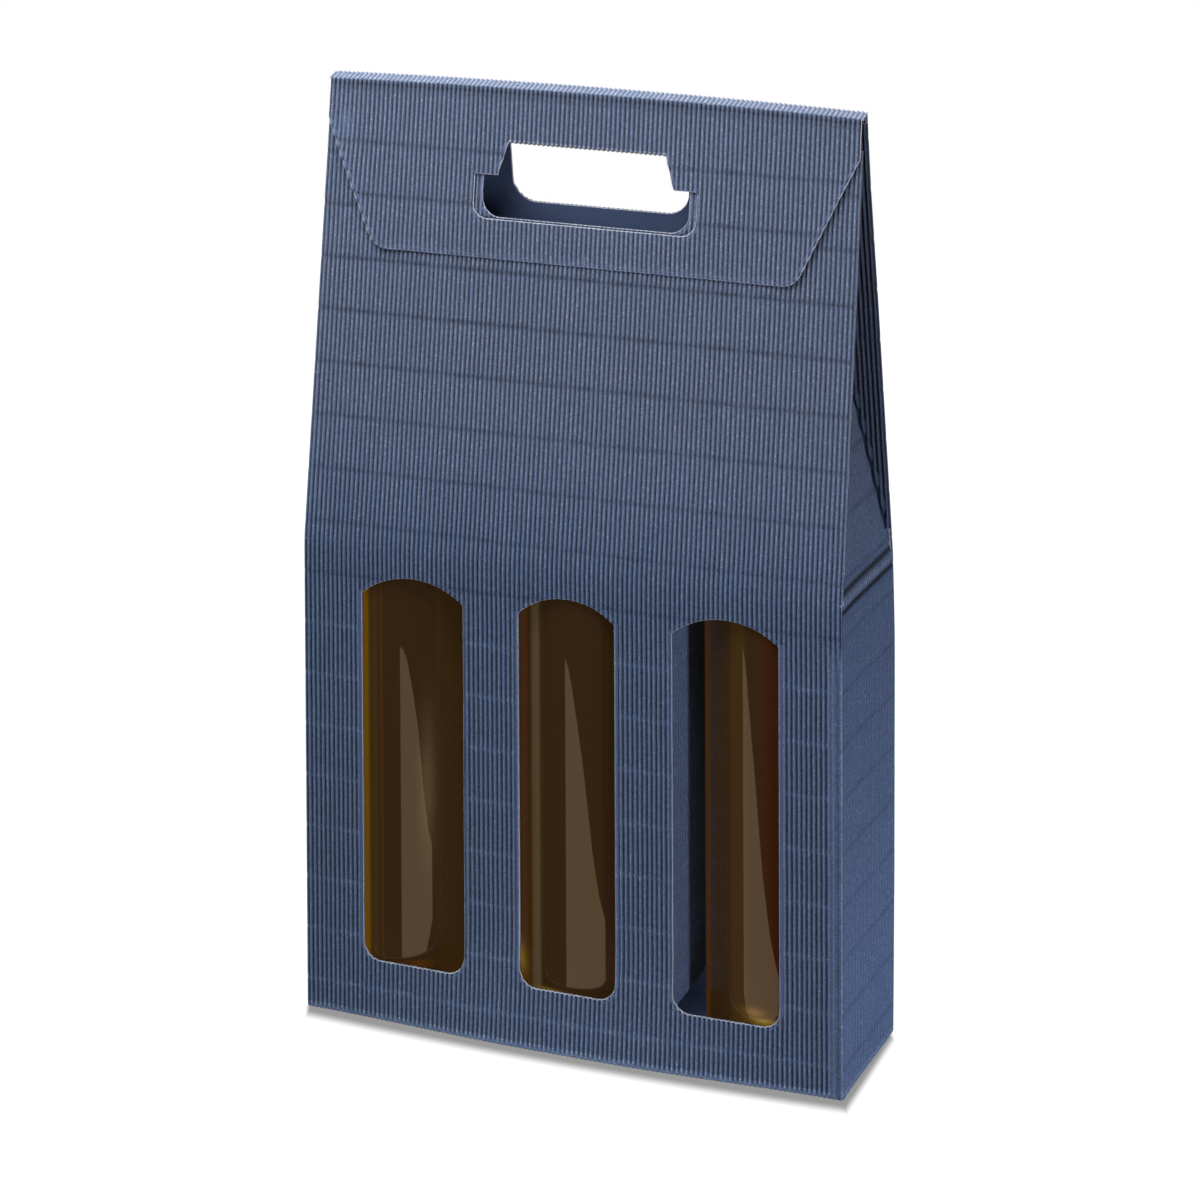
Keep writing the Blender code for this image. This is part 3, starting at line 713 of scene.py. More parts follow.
def shoulders():
    """The two leaning panels, each with its hand opening and its half of the fold to its wings."""
    start = HALF - WING_FOLD
    reach = start + WING_FOLD * QUARTER
    sides = ((-start, WING_FOLD), (start, WING_FOLD))
    for name, lean, slope, rise, half, top_drop, bottom_drop, corner, back in (
        ("front_shoulder", FRONT_LEAN, FRONT_SLOPE, 0.0, 0.0520, 0.0205, 0.0603, 0.0095, False),
        ("back_shoulder", BACK_LEAN, BACK_SLOPE, RIDGE_RISE, 0.0448, 0.0205, 0.0573, 0.0120, True),
    ):
        bottom, bend_roll = gable_bend(BEND, lean)
        open_top, side = slope - top_drop - rise, slope - bottom_drop - rise + corner
        top, ends = FRONT_TOP, (bend_roll, None)
        if back:
            roll_start = slope - RIDGE_FOLD * tan(BACK_TURN / 2)
            top = roll_start + RIDGE_FOLD * BACK_TURN
            ends = (bend_roll, (roll_start, RIDGE_FOLD, BACK_TURN))
        corner_columns = half - corner * ROUNDED
        columns = flute_columns(-reach, reach, FRONT_PITCH, [*corner_columns, *-corner_columns])
        (_, count, low, high), = rectangle(columns, bottom, top)
        (_, _, side_low, side_high), = rectangle(columns, side, open_top)
        lower = side_low.copy()
        inside = np.abs(columns) <= half + 1e-9
        lower[inside] = side - rounded(half - np.abs(columns[inside]), corner)
        bands = [(0, count, low, lower), (0, count, side_high, high),
                 (0, column_at(columns, -half), side_low, side_high),
                 (column_at(columns, half), count, side_low, side_high)]
        origin = (0, DEPTH / 2 if back else -DEPTH / 2, BODY_HEIGHT)
        fold = lambda a, b: near(np.abs(a), reach) | near(b, bottom) | (near(b, top) & back)
        board(name, name, (origin, *slope_axes(lean, back)), columns, bands, FRONT_PITCH, HALF,
              SHOULDER_LINES[: 9 if back else 8], (), fold, ends, sides,
              [side, open_top, *steps_between(0, slope, 0.009)],
              powers=((0.0, 0.045), (BEND_CREST_POWER, CREST_POWER)))


def ridge():
    """The strip along the top between the two creases, a little higher behind.

    It stands up in the middle, as when the flap holds the gable shut.
    """
    low = RIDGE_FOLD * tan(FRONT_TURN / 2)
    high = RIDGE_WIDTH - RIDGE_FOLD * tan(BACK_TURN / 2)
    columns = flute_columns(-HALF, HALF, FRONT_PITCH)
    axes = ((0, -RIDGE_DEPTH / 2, HEIGHT), *slope_axes(QUARTER - RIDGE_TILT))
    # The tone over the whole strip paints it paler: painted light on its upward face
    strip = board("ridge_strip", "back_shoulder", axes, columns, rectangle(columns, low, high),
                  FRONT_PITCH, HALF, (), [(0.0, 0.03, 0.45, 0.0002, (0.55, 1.12))],
                  lambda a, b: near(b, low) | near(b, high), levels=steps_between(low, high, 0.002))
    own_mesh(strip)


def flap():
    """The closure flap: over the ridge fold, down the front, with the cut-out for the hand."""
    straight, length, edge_half, corner = 0.0170, 0.0790, 0.1047, 0.0100
    roll_start = -RIDGE_FOLD * tan(FRONT_TURN / 2)
    top = roll_start + RIDGE_FOLD * FRONT_TURN

    # The flap's lower outline, as drop against distance from the middle: round corners, slant sides
    slant = np.array([HALF - edge_half, length - straight])
    angle = np.arctan2(slant[1], slant[0])
    centre = edge_half - corner * np.tan(angle / 2)
    turn = np.linspace(0, angle, 10)
    round_x, round_drop = centre + corner * np.sin(turn), length - corner * (1 - np.cos(turn))
    outline_x, outline_drop = [0, *round_x, HALF], [length, *round_drop, straight]

    quarter, ear = np.linspace(0, QUARTER, 9), np.linspace(0, QUARTER, 5)
    cut_x = [0, CUT_EAR_HALF - CUT_CORNER, *(CUT_EAR_HALF - CUT_CORNER * (1 - np.sin(quarter)))]
    cut_drop = [CUT_BOTTOM, CUT_BOTTOM, *(CUT_BOTTOM - CUT_CORNER * (1 - np.cos(quarter)))]
    roof_x = [0, CUT_TOP_HALF, CUT_NECK_HALF, *(CUT_EAR_HALF - EAR_CORNER * (1 - np.sin(ear)))]
    roof_drop = [CUT_TOP, CUT_TOP, EAR_DROP, *(EAR_DROP + EAR_CORNER * (1 - np.cos(ear)))]
    marks = [*round_x, *cut_x[1:], *roof_x[1:]]
    nick, nick_depth = np.array([0.0016, 0.0019, 0.0022]), 0.0060
    side_edge = HALF - 0.0009
    columns = flute_columns(-side_edge, side_edge, FRONT_PITCH, [*marks, *(-m for m in marks), *nick])
    away = np.abs(columns)
    low = -np.interp(away, outline_x, outline_drop)
    low[near(columns, nick[1])] += nick_depth
    side_low, side_high = CUT_CORNER - CUT_BOTTOM, -EAR_DROP - EAR_CORNER
    sill = np.where(away > CUT_EAR_HALF, side_low, -np.interp(away, cut_x, cut_drop))
    roof = np.where(away > CUT_EAR_HALF, side_high, -np.interp(away, roof_x, roof_drop))
    (_, count, middle_low, high), = rectangle(columns, side_low, top)
    # Outside the cut-out the slanting side may end above the join of two bands
    middle = np.maximum(middle_low, low), np.maximum(np.full(len(columns), side_high), low)
    bands = [(0, count, low, np.maximum(np.minimum(sill, high), low)),
             (0, count, np.maximum(roof, low), high),
             (0, column_at(columns, -CUT_EAR_HALF), *middle),
             (column_at(columns, CUT_EAR_HALF), count, *middle)]
    lines = [(-0.0047, 0.40, DARK), (-0.0296, 0.70, DARK), (-0.0545, 0.85, DARK)]
    # A painted highlight along the fold with painted shade in the valleys under it, and pressed thin along
    # the bottom edge
    creases = [(0.0008, 0.0010, 0.3, 0.0, (0.6, 1.15)), (-0.0024, 0.0010, 0.0, 0.0, (-0.35, 0.7)),
               (-length, 0.0028, 0.85, 0.0006, (0.1, 1.05))]
    fold = lambda a, b: near(b, top) | (near(b, -CUT_TOP) & (np.abs(a) < CUT_TOP_HALF + 1e-6))
    # The flap curls a little in its lower part, on a radius of 0.72 m
    ends = (-0.055, 0.72, 0.024 / 0.72), (roll_start, RIDGE_FOLD, FRONT_TURN)
    slope_way = slant[::-1] / np.hypot(*slant)

    def stand(a, b):
        """The slanted edges stand off the shoulder, the left one more, dying away in 11 mm."""
        inside = np.maximum((HALF - np.abs(a)) * slope_way[0] + (b + straight) * slope_way[1], 0)
        most = np.where(a < 0, 0.0022, 0.0012) * np.clip((-b - straight) / 0.02, 0, 1)
        return most * np.exp(-inside / 0.011)

    front = -RIDGE_DEPTH / 2
    board("closure_flap", "closure_flap", ((0, front, HEIGHT), *slope_axes(FRONT_LEAN)),
          columns, bands, FRONT_PITCH, HALF, lines, creases, fold, ends,
          levels=[side_low, side_high, -CUT_TOP, *steps_between(-length, 0, 0.007)],
          lip=FLAP_LIP, stand=stand,
          bend=("back_shoulder", (0, front + 0.0006, HEIGHT), (0, front, HEIGHT - 0.0012)))


def tongue():
    """The cut-out's own board, rolled back through both openings so that its ears catch."""
    top_half, neck_half, ear_half = np.array([CUT_TOP_HALF, CUT_NECK_HALF, CUT_EAR_HALF]) - TONGUE_TRIM
    turn = radians(90) + FRONT_LEAN
    low = TONGUE_TRIM - TONGUE_ROLL * turn
    marks = [top_half, neck_half, ear_half, ear_half - EAR_CORNER, ear_half - CUT_CORNER]
    columns = flute_columns(-ear_half, ear_half, FRONT_PITCH, [*marks, *(-m for m in marks)])
    away = np.abs(columns)
    base = np.interp(away, [0, top_half, neck_half, ear_half], [low, low, NECK_LENGTH, NECK_LENGTH])
    ear, tip = (corner - rounded(ear_half - away, corner) for corner in (EAR_CORNER, CUT_CORNER))
    bands = [(0, len(columns) - 1, base + np.where(away > neck_half, ear, 0), TONGUE_LENGTH - tip)]
    bend_start = (0, -RIDGE_DEPTH / 2 - CUT_TOP * sin(FRONT_LEAN), HEIGHT - CUT_TOP * cos(FRONT_LEAN))
    board("locking_tongue", "locking_tongue",
          ((0, CREASE_Y, CREASE_Z - BOARD), (-1, 0, 0), (0, 1, 0), DOWN), columns, bands, FRONT_PITCH,
          HALF, [(0.0147, 0.5, DARK)], [(-0.0014, 0.0020, 0.2, 0.0, (0.45, 1.35))],
          lambda a, b: near(b, low), ((TONGUE_TRIM, TONGUE_ROLL, turn), None),
          levels=steps_between(0, TONGUE_LENGTH, 0.006),
          bend=("closure_flap", bend_start, (0, CREASE_Y + TONGUE_TRIM, CREASE_Z - BOARD)))


def wings():
    """The side panels' outer parts, folded flat behind the shoulders with their flutes inwards."""
    edge, foot, gap = HALF - 0.0005, 0.014, 0.0015
    run = WING_FOLD * QUARTER
    for back, lean, slope, top in (
        (False, FRONT_LEAN, FRONT_SLOPE, FRONT_TOP),
        (True, BACK_LEAN, BACK_SLOPE, (GABLE_HEIGHT - LAYER - BOARD) / cos(BACK_LEAN)),
    ):
        across, along, outward = (np.array(v, float) for v in slope_axes(lean, back))
        crease = np.array([0, DEPTH / 2 if back else -DEPTH / 2, BODY_HEIGHT])
        word = "back" if back else "front"
        inner = gap - foot * DEPTH / 2 / slope, gap - top * DEPTH / 2 / slope
        for side, direction in (("right", -1 if back else 1), ("left", 1 if back else -1)):
            # Seen from its fluted face: the fold to the shoulder at a = 0, the gusset's fold inwards
            origin = crease + across * direction * edge - outward * (LAYER + BOARD)
            start = -(WING_FOLD - 0.0005)
            outer = start + run
            if direction > 0:
                low, high, sides = -outer, -inner[1], ((-start, WING_FOLD), None)
            else:
                low, high, sides = inner[1], outer, (None, (start, WING_FOLD))
            columns = flute_columns(low, high, FRONT_PITCH)
            away = -columns if direction < 0 else columns
            base = np.maximum(foot, foot + (away + inner[0]) * (top - foot) / (inner[0] - inner[1]))
            bands = [(0, len(columns) - 1, np.minimum(base, top - 1e-4), np.full(len(columns), top))]
            lines = [line for line in SHOULDER_LINES[1:] if line[0] < top]
            # A broad crease darkens each wing all over: painted shade, as it stands in the recess behind the
            # gusset
            board(f"{side}_{word}_wing", f"{side}_{word}_wing", (origin, -across, along, -outward),
                  columns, bands, FRONT_PITCH, outer, lines, [(top / 2, top, 0.0, 0.0, (-0.35, 0.65))],
                  sides=sides, levels=steps_between(foot, top, 0.012))


def gusset_edge(up, lean, layers):
    """How far from the middle a gusset may reach, some layers of board in from a shoulder."""
    return DEPTH / 2 - up * cos(GUSSET_LEAN) * tan(lean) - layers / cos(lean)


def gussets():
    """The side panels' middle triangles, leaning in under the ridge from a crushed crease."""
    # Low down it clears the shoulders' boards, and from the step up the wings' as well
    step, low_layers, high_layers, head_room = 0.013, BOARD + 0.0006, LAYER + BOARD + 0.0010, 0.0170
    top = GUSSET_SLOPE - head_room
    bottom, bend_roll = gable_bend(GUSSET_BEND, GUSSET_LEAN)
    steps = ((0, low_layers), (step, low_layers), (step, high_layers), (top, high_layers))
    front = [(-gusset_edge(up, FRONT_LEAN, layers), up) for up, layers in steps]
    back = [(gusset_edge(up, BACK_LEAN, layers), up) for up, layers in steps[::-1]]
    outline = np.array(front + back)
    for side, turn in (("right", 1), ("left", -1)):
        shape = outline if turn > 0 else (outline * (-1, 1))[::-1]
        columns = flute_columns(shape[0, 0], shape[-1, 0], SIDE_PITCH, shape[:, 0])
        high = np.interp(columns, shape[:, 0] + np.arange(8) * 1e-9, shape[:, 1])
        bands = [(0, len(columns) - 1, np.full(len(columns), bottom), np.maximum(high, bottom + 1e-4))]
        axes = ((turn * HALF, 0, BODY_HEIGHT), (0, turn, 0), (-turn * sin(GUSSET_LEAN), 0, cos(GUSSET_LEAN)),
                (turn * cos(GUSSET_LEAN), 0, sin(GUSSET_LEAN)))
        board(f"{side}_gusset", f"{side}_gusset", axes, columns, bands, SIDE_PITCH, DEPTH / 2,
              SHOULDER_LINES[:8], CREASE, lambda a, b: near(b, bottom), (bend_roll, None),
              levels=steps_between(0, top, 0.012))


def dividers():
    """The outer windows' cut-outs, folded in at their inner edges between the bottles."""
    low, high, half, hinge = 0.0006, WINDOW_WIDTH - 0.0010, WINDOW_WIDTH / 2, 0.0515
    for side, turn in (("right", 1), ("left", -1)):
        columns = flute_columns(low, high, FRONT_PITCH, WINDOW_CORNER * ROUNDED)
        columns = columns[columns >= low - 1e-9]
        base = SILL + WINDOW_CORNER - rounded(np.minimum(columns, WINDOW_WIDTH - columns), WINDOW_CORNER)
        crown = arch(columns - half, half)
        if turn < 0:
            columns, base, crown = -columns[::-1], base[::-1], crown[::-1]
        axes = ((turn * hinge, -DEPTH / 2 + BOARD, 0), (0, turn, 0), UP, (turn, 0, 0))
        board(f"{side}_divider", f"{side}_divider", axes, columns, [(0, len(columns) - 1, base, crown)],
              FRONT_PITCH, 0.0, WALL_LINES, levels=steps_between(SILL, SPRING, 0.012))


def bottom_and_glue_flap():
    """The four bottom flaps, flutes down, and the strip glued inside the left wall."""
    half_width, half_depth = HALF - LAYER, DEPTH / 2 - LAYER
    back_share, side_length = 0.7, 0.090
    back_reach = half_depth - back_share * 2 * half_depth
    side_end = half_width - side_length
    for name, layer, across, along, half, low, high, pitch in (
        ("front", 0, (-1, 0, 0), (0, 1, 0), half_width, -half_depth, half_depth, FRONT_PITCH),
        ("back", 1, (-1, 0, 0), (0, 1, 0), half_width, back_reach, half_depth, FRONT_PITCH),
        ("right", 2, (0, 1, 0), (1, 0, 0), half_depth, side_end, half_width, SIDE_PITCH),
        ("left", 2, (0, -1, 0), (-1, 0, 0), half_depth, side_end, half_width, SIDE_PITCH),
    ):
        columns = flute_columns(-half, half, pitch)
        board(f"{name}_bottom_flap", "carton", ((0, 0, layer * LAYER), across, along, DOWN), columns,
              rectangle(columns, low, high), pitch, half, levels=steps_between(low, high, 0.012))
    ends, foot, head = (-0.0382, -0.0162), (0.0057, 0.0164), (0.225, 0.218)
    columns = flute_columns(*ends, SIDE_PITCH)
    rise, fall = np.interp(columns, ends, foot), np.interp(columns, ends, head)
    board("glue_flap", "carton", ((-HALF + LAYER, 0, 0), (0, -1, 0), UP, (-1, 0, 0)), columns,
          [(0, len(columns) - 1, rise, fall)], SIDE_PITCH, 0.0, levels=steps_between(foot[0], head[0], 0.02))


def turned(name, profile, centre, material, steps=96, paint=None):
    """A closed profile of (radius, height) turned about an upright line: rings of points."""
    profile = np.array(profile, float)
    angle = np.arange(steps) * 2 * pi / steps
    rings = np.stack([profile[:, 0, None] * np.cos(angle), profile[:, 0, None] * np.sin(angle),
                      np.broadcast_to(profile[:, 1, None], (len(profile), steps))], -1)
    points = rings.reshape(-1, 3) + np.array(centre)
    index = np.arange(len(points)).reshape(len(profile), steps)
    poles = profile[:, 0] < 1e-9
    index[poles] = index[poles][:, :1]
    across = np.roll(index, -1, axis=1)
    faces = clean_faces(np.stack([index[:-1], across[:-1], across[1:], index[1:]], -1).reshape(-1, 4))
    used, faces = used_only(len(points), faces)
    points = points[used]
    fields = {"tint": paint(points - np.array(centre))} if paint else None
    return mesh_piece(name, points, faces, [material], fields=fields)


def arc(centre, radius, start, end, steps):
    """Points of a profile on a circle, from one angle in degrees to another."""
    angle = np.radians(np.linspace(start, end, steps + 1))
    return [(centre[0] + radius * cos(t), centre[1] + radius * sin(t)) for t in angle]


def shoulder_curve(wide, narrow, steps=28):
    """A bottle's shoulder: the radius falls as half a wave of a cosine, faster as it rises."""
    share = np.arange(1, steps) / steps
    radius = narrow + (wide - narrow) * (1 + np.cos(pi * share**1.25)) / 2
    return list(zip(radius, 0.205 + 0.052 * share))


def streaks(points, bands, patches):
    """The glass's colour at each point: brown, then each streak and patch of painted light laid over it.

    A streak is (from, to, colour, softness) in degrees round the bottle, 0 at the front and
    growing to the right. A patch is (angle, height, half width, half height, colour).
    """
    angle = np.degrees(np.arctan2(points[:, 0], -points[:, 1]))
    colour = np.broadcast_to(np.array(linear(BROWN)), (len(points), 4))
    for start, end, code, soft in bands:
        share = np.clip((angle - start) / soft, 0, 1) * np.clip((end - angle) / soft, 0, 1)
        colour = colour + share[:, None] * (np.array(linear(code)) - colour)
    for place, height, wide, tall, code in patches:
        share = np.exp(-(((angle - place) / wide) ** 2) - ((points[:, 2] - height) / tall) ** 2)
        colour = colour + share[:, None] * (np.array(linear(code)) - colour)
    return colour


# Glass colours, and each bottle's streaks and patches of painted light: glints, reflections, light seen
# through the glass and lighter glass where shade falls
BROWN, TAN, AMBER, OLIVE, RUST = "#583f22", "#6a4c25", "#87571f", "#b88a1c", "#5e3319"
GOLD, PAINTED_HIGHLIGHT, FAINT = "#efc850", "#927a57", "#8a7150"
PAINTED_STREAKS = {
    "left": [(-60, -11, OLIVE, 3), (-11, -4, TAN, 2), (-3, -1, AMBER, 0.8), (40, 75, TAN, 2)],
    "middle": [(-80, -36, AMBER, 3), (-37, -23, PAINTED_HIGHLIGHT, 4), (30, 80, RUST, 20)],
    "right": [(-80, -51, AMBER, 3), (-27, -10, TAN, 4), (-2, 80, RUST, 8)],
}
PAINTED_PATCHES = {
    "left": [(27, 0.0215, 12, 0.0016, AMBER), (33, 0.108, 6, 0.030, FAINT)],
    "middle": [(-54, 0.030, 10, 0.007, GOLD), (-14, 0.0215, 12, 0.0014, GOLD)],
    "right": [(-6, 0.0275, 8, 0.0018, "#c48f45"), (4, 0.0235, 12, 0.0014, GOLD)],
}


def bottles():
    """Three amber bottles with a punt, a thick heel, a drawn shoulder and a banded mouth."""
    body, neck, wall = 0.037, 0.0145, 0.003
    outside = [(0, 0.014), (0.004, 0.0138), (0.009, 0.0130), (0.0135, 0.0115), (0.0175, 0.0092),
               (0.0215, 0.0060), (0.0250, 0.0028), (0.0275, 0.0010), (0.0295, 0.0002),
               *arc((0.032, 0.005), 0.005, -90, 0, 8)]
    outside += [(body, z) for z in (*np.arange(0.012, 0.0449, 0.0015), *np.linspace(0.045, 0.205, 10))]
    outside += shoulder_curve(body, neck)
    outside += [(neck, 0.257), (0.0141, 0.264), (0.0137, 0.290), (0.0136, 0.3085), (0.0139, 0.3095),
                (0.01445, 0.3100), (0.0145, 0.3106), (0.0145, 0.3160), (0.0143, 0.3182),
                (0.0137, 0.3195), (0.0129, 0.3200), (0.0118, 0.3196), (0.0113, 0.3185)]
    inner, throat = body - wall, neck - wall
    inside = [(throat - 0.0002, 0.305), (throat - 0.0003, 0.270), (throat, 0.257)]
    inside += shoulder_curve(inner, throat)[::-1]
    inside += [(inner, z) for z in np.linspace(0.205, 0.016, 10)]
    inside += arc((inner - 0.006, 0.0135), 0.006, -8, -62, 5)
    inside += [(0.026, 0.0078), (0.0215, 0.0103), (0.0175, 0.0132), (0.0135, 0.0150),
               (0.009, 0.0163), (0.004, 0.0169), (0, 0.0171)]
    # The capsule fits the mouth with 0.3 mm of play, and has a bead above its foot
    sleeve = [(0, 0.3203), *((neck + 0.0003 + out, z) for out, z in (
        (-0.0008, 0.3203), (0, 0.3195), (0, 0.271), (0.0003, 0.270), (0.0006, 0.2703), (0.0006, 0.2740),
        (0.0004, 0.2745), (0.0004, 0.2755), (0.0006, 0.2760), (0.0006, 0.3190), (0.0003, 0.3202),
        (-0.0006, 0.3207), (-0.0020, 0.3209))), (0, 0.3209)]
    for name in ("left", "middle", "right"):
        low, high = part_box(f"{name}_bottle")
        centre = ((low.x + high.x) / 2, 0, low.z)
        # The glass takes its painted light: streaks and patches of glints, reflections and lighter glass in
        # the shade
        paint = lambda points: streaks(points, PAINTED_STREAKS[name], PAINTED_PATCHES[name])
        piece = turned(f"amber_{name}_bottle", outside + inside, centre, bottle_glass, 240, paint)
        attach(piece, f"{name}_bottle")
        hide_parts(f"{name}_bottle")
        capsule = turned(f"{name}_shrink_capsule", sleeve, centre, capsule_plastic)
        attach(capsule, f"{name}_bottle")
        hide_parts(f"{name}_bottle_cap")


def make_table():
    """White table. Its own glow, for the camera only, fades out in a painted shadow under the carton.

    The painted shadow is the carton's footprint drawn out along SHADE_WAY: a point is in it if going
    back that way meets the footprint, and it is darkest where the way back is shortest.
    """
    material, tree, shader = new_material("white table", Roughness=0.9, Specular_IOR_Level=0.0)
    in_view = add_node(tree, "ShaderNodeLightPath").outputs["Is Camera Ray"]
    colour = add_node(tree, "ShaderNodeMix", {"data_type": "RGBA"}, Factor=in_view,
                      A=(0.08, 0.08, 0.08, 1), B=(0.04, 0.04, 0.04, 1))
    tree.links.new(colour.outputs["Result"], shader.inputs["Base Color"])
    place = add_node(tree, "ShaderNodeTexCoord").outputs["Object"]
    across = add_node(tree, "ShaderNodeSeparateXYZ", _0=place).outputs["X"]
    # The front's belly carries the footprint's near edge forward
    squared = add_node(tree, "ShaderNodeMath", {"operation": "MULTIPLY"}, _0=across, _1=across)
    belly = add_node(tree, "ShaderNodeMapRange", Value=squared.outputs[0], From_Min=0.0, From_Max=HALF**2,
                     To_Min=FRONT_BULGE[1][0], To_Max=0.0)
    forward = add_node(tree, "ShaderNodeCombineXYZ", Y=belly.outputs["Result"])
    moved = add_node(tree, "ShaderNodeVectorMath", {"operation": "ADD"}, _0=place, _1=forward.outputs[0])
    ways = []
    for spot, corner in ((moved.outputs[0], (HALF, -DEPTH / 2, 0)), (place, (-HALF, DEPTH / 2, 0))):
        gap = add_node(tree, "ShaderNodeVectorMath", {"operation": "SUBTRACT"}, _0=spot, _1=corner)
        steps = add_node(tree, "ShaderNodeVectorMath", {"operation": "DIVIDE"},
                         _0=gap.outputs[0], _1=(*SHADE_WAY, 1))
        ways.append(add_node(tree, "ShaderNodeSeparateXYZ", _0=steps.outputs[0]).outputs)
    near_way, far_way = ways
    first = add_node(tree, "ShaderNodeMath", {"operation": "MAXIMUM"}, _0=near_way["X"], _1=near_way["Y"])
    last = add_node(tree, "ShaderNodeMath", {"operation": "MINIMUM"}, _0=far_way["X"], _1=far_way["Y"])
    after = add_node(tree, "ShaderNodeMath", {"operation": "MAXIMUM"}, _0=first.outputs[0], _1=0.0)
    missed = add_node(tree, "ShaderNodeMath", {"operation": "SUBTRACT"},
                      _0=after.outputs[0], _1=last.outputs[0])
    outside = add_node(tree, "ShaderNodeMapRange", Value=missed.outputs[0],
                       From_Min=SHADE_EDGE[0], From_Max=SHADE_EDGE[1])
    faded = add_node(tree, "ShaderNodeMapRange", {"interpolation_type": "SMOOTHSTEP"},
                     Value=first.outputs[0], From_Min=SHADE_START, From_Max=SHADE_REACH)
    away = add_node(tree, "ShaderNodeMath", {"operation": "MAXIMUM"},
                    _0=outside.outputs["Result"], _1=faded.outputs["Result"])
    # Painted shadow: the glow dims towards SHADE_DARKEST near the footprint
    strength = add_node(tree, "ShaderNodeMapRange", Value=away.outputs[0],
                        To_Min=SHADE_DARKEST, To_Max=TABLE_GLOW)
    glow = add_node(tree, "ShaderNodeEmission", Color=(1, 1, 1, 1), Strength=strength.outputs["Result"])
    lit = add_node(tree, "ShaderNodeAddShader", _0=shader.outputs[0], _1=glow.outputs[0])
    pick = add_node(tree, "ShaderNodeMixShader", Fac=in_view, _1=shader.outputs[0], _2=lit.outputs[0])
    tree.links.new(pick.outputs[0], tree.nodes["Material Output"].inputs["Surface"])
    return material


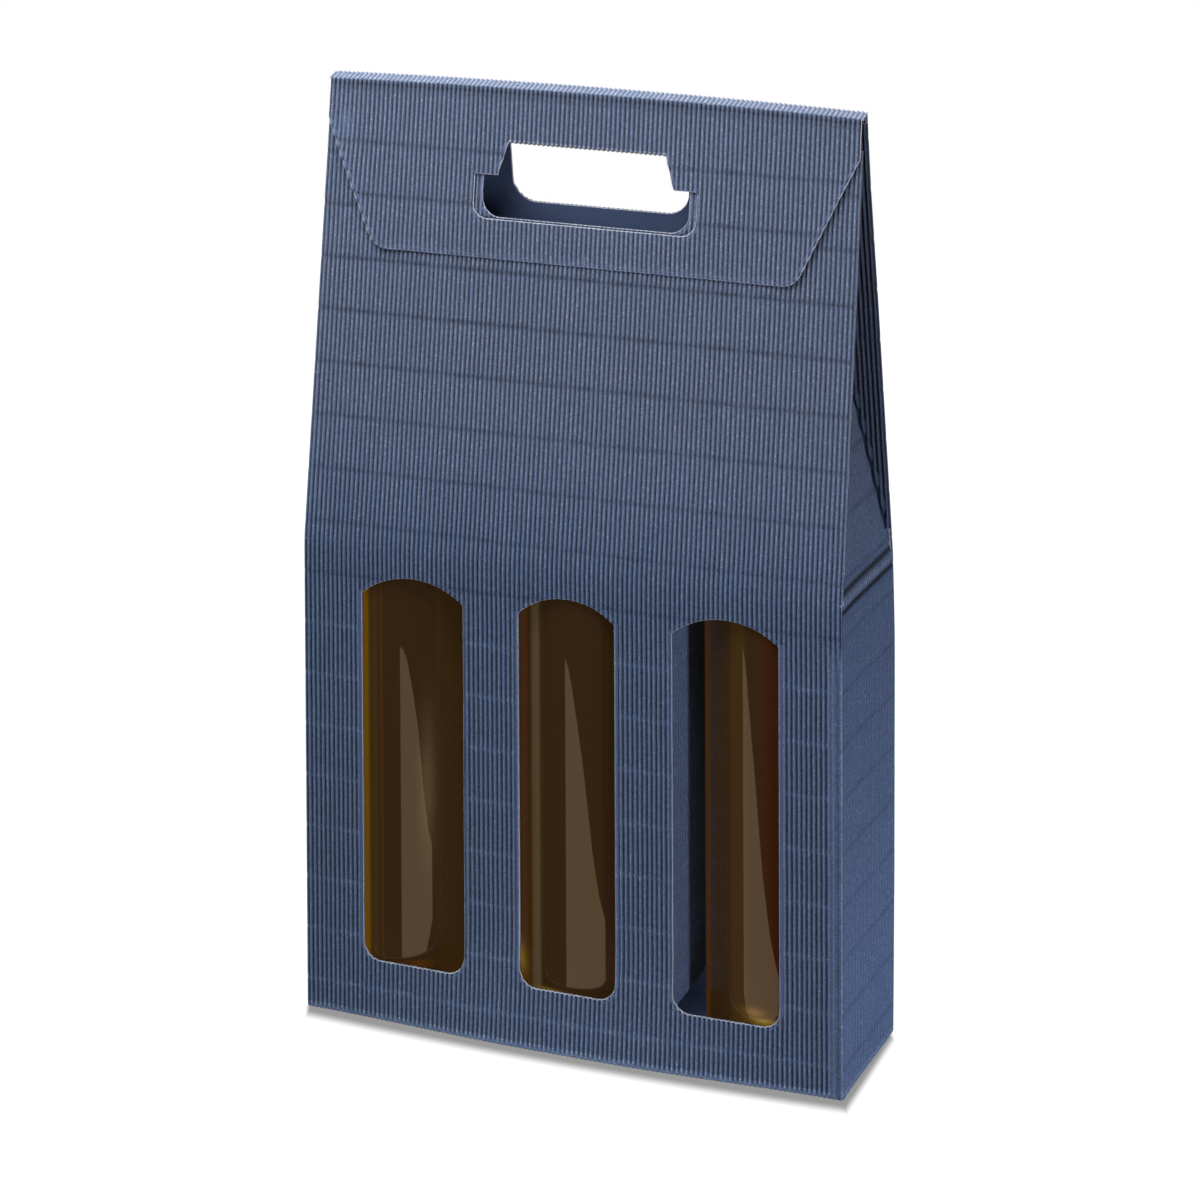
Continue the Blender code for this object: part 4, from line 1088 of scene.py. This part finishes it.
def studio():
    """White table and surround, lamps, and a standing white card that only reflections show.

    The lamps are (name, place, target, size, power): soft boxes above the front and the back,
    a strip on the right, fills from the front, and what the white table and room bounce back.
    """
    side = 1.5
    corners = np.array([(-side, -side, 0), (side, -side, 0), (side, side, 0), (-side, side, 0)], float)
    floor = mesh_piece("table", corners, np.array([[0, 1, 2, 3]]), [make_table()])
    floor.visible_glossy = False

    world = bpy.data.worlds.new("studio")
    bpy.context.scene.world = world
    world.use_nodes = True
    tree = world.node_tree
    background = tree.nodes["Background"]
    # The camera sees white all round. Gloss and glass see the white backdrop behind the carton.
    ray = add_node(tree, "ShaderNodeLightPath").outputs
    place = add_node(tree, "ShaderNodeTexCoord").outputs["Generated"]
    way = add_node(tree, "ShaderNodeSeparateXYZ", _0=place).outputs
    behind, above = [
        add_node(tree, "ShaderNodeMapRange", {"interpolation_type": "SMOOTHSTEP"}, Value=way[axis],
                 From_Min=low, From_Max=high).outputs["Result"]
        for axis, low, high in (("Y", 0.0, 0.4), ("Z", -0.05, 0.10))]
    backdrop = add_node(tree, "ShaderNodeMath", {"operation": "MULTIPLY"}, _0=behind, _1=above)
    mirrored = add_node(tree, "ShaderNodeMath", {"operation": "MAXIMUM"},
                        _0=ray["Is Glossy Ray"], _1=ray["Is Transmission Ray"])
    reflected = add_node(tree, "ShaderNodeMath", {"operation": "MULTIPLY"},
                         _0=backdrop.outputs[0], _1=mirrored.outputs[0])
    seen = add_node(tree, "ShaderNodeMath", {"operation": "MAXIMUM"},
                    _0=ray["Is Camera Ray"], _1=reflected.outputs[0])
    strength = add_node(tree, "ShaderNodeMapRange", Value=seen.outputs[0], To_Min=0.03)
    tree.links.new(strength.outputs["Result"], background.inputs["Strength"])
    background.inputs["Color"].default_value = (1, 1, 1, 1)

    for name, place, target, size, power in (
        ("key box", (-0.2, -0.45, 1.0), (-0.05, -0.2, 0.2), (0.8, 0.35), 7.5),
        ("right strip", (1.0, -0.75, 0.25), (0.1, 0, 0.12), (0.15, 0.5), 3.8),
        ("left fill", (-0.6, -2.1, 0.75), (0, 0, 0.2), (0.9, 0.8), 1.9),
        ("camera fill", (0.55, -1.9, 0.75), (0, 0, 0.12), (0.4, 0.4), 0.6),
        ("back box", (0.0, 0.35, 1.2), (0, 0.05, 0.4), (0.8, 0.35), 5.0),
        ("back bounce", (-0.5, 1.6, 0.25), (0, 0.04, 0.22), (0.9, 0.6), 12.0),
        ("side bounce", (0.34, -0.02, 0.012), (0.13, 0, 0.03), (0.10, 0.02), 0.13),
        ("front bounce", (0.0, -0.11, 0.002), (0, -0.04, 0.012), (0.26, 0.006), 0.016),
        ("gap bounce", (0.044, -0.028, 0.060), (0.042, 0.004, 0.005), (0.008, 0.008), 0.006),
    ):
        lamp = bpy.data.lights.new(name, "AREA")
        lamp.shape = "RECTANGLE"
        lamp.size, lamp.size_y = size
        lamp.energy = power
        lamp.color = (1.02, 0.97, 1.04) if name in ("right strip", "side bounce") else (1, 1, 1)
        holder = bpy.data.objects.new(name, lamp)
        holder.location = place
        holder.visible_glossy = not name.endswith("bounce")
        holder.rotation_euler = (Vector(target) - Vector(place)).to_track_quat("-Z", "Y").to_euler()
        bpy.context.scene.collection.objects.link(holder)

    card_material, _, _ = new_material("standing white card", Base_Color=(0, 0, 0, 1),
                                       Emission_Color=linear("#ffdfb4"), Emission_Strength=1.30)
    corners = np.array([(x, CARD_PLACE, z) for x, z in CARD_OUTLINE])
    fan = np.array([(0, i, i + 1, -1) for i in range(1, len(corners) - 1)])
    card = mesh_piece("white card", corners, fan, [card_material])
    card.visible_camera = card.visible_diffuse = card.visible_shadow = card.visible_transmission = False


def camera():
    """The photograph's view: a long lens, its picture plane nearly upright, so uprights stay parallel.

    The line of sight is slanted to that plane, as a shifted lens would have it. The slant is in
    the matrix that joins the camera to its stand, so a camera that leaves the stand is a plain one.
    """
    yaw, pitch, turn = radians(-22.8639), radians(2.1304), radians(-0.3883)
    forward = Vector((sin(yaw) * cos(pitch), cos(yaw) * cos(pitch), -sin(pitch)))
    right = forward.cross(Vector(UP)).normalized()
    up = right.cross(forward)
    right, up = right * cos(turn) + up * sin(turn), up * cos(turn) - right * sin(turn)
    aim = forward * PICTURE[0] + right * PICTURE[1] + up * PICTURE[2]
    eye = bpy.data.cameras.new("camera")
    eye.sensor_width = 36.0
    eye.lens = aim.length * eye.sensor_width
    stand = bpy.data.objects.new("camera stand", None)
    holder = bpy.data.objects.new("camera", eye)
    holder.parent = stand
    rows = zip(right, up, -aim.normalized(), EYE)
    holder.matrix_parent_inverse = Matrix((*rows, (0, 0, 0, 1)))
    bpy.context.scene.collection.objects.link(stand)
    bpy.context.scene.collection.objects.link(holder)
    bpy.context.scene.camera = holder


fluted_paper = make_fluted_paper()
liner_paper = make_liner_paper()
cut_edge = make_cut_edge()
bottle_glass = make_bottle_glass()
capsule_plastic = make_capsule()

camera()
studio()
walls()
shoulders()
ridge()
flap()
tongue()
wings()
gussets()
dividers()
bottom_and_glue_flap()
bottles()

view = bpy.context.scene.view_settings
view.view_transform = "Standard"
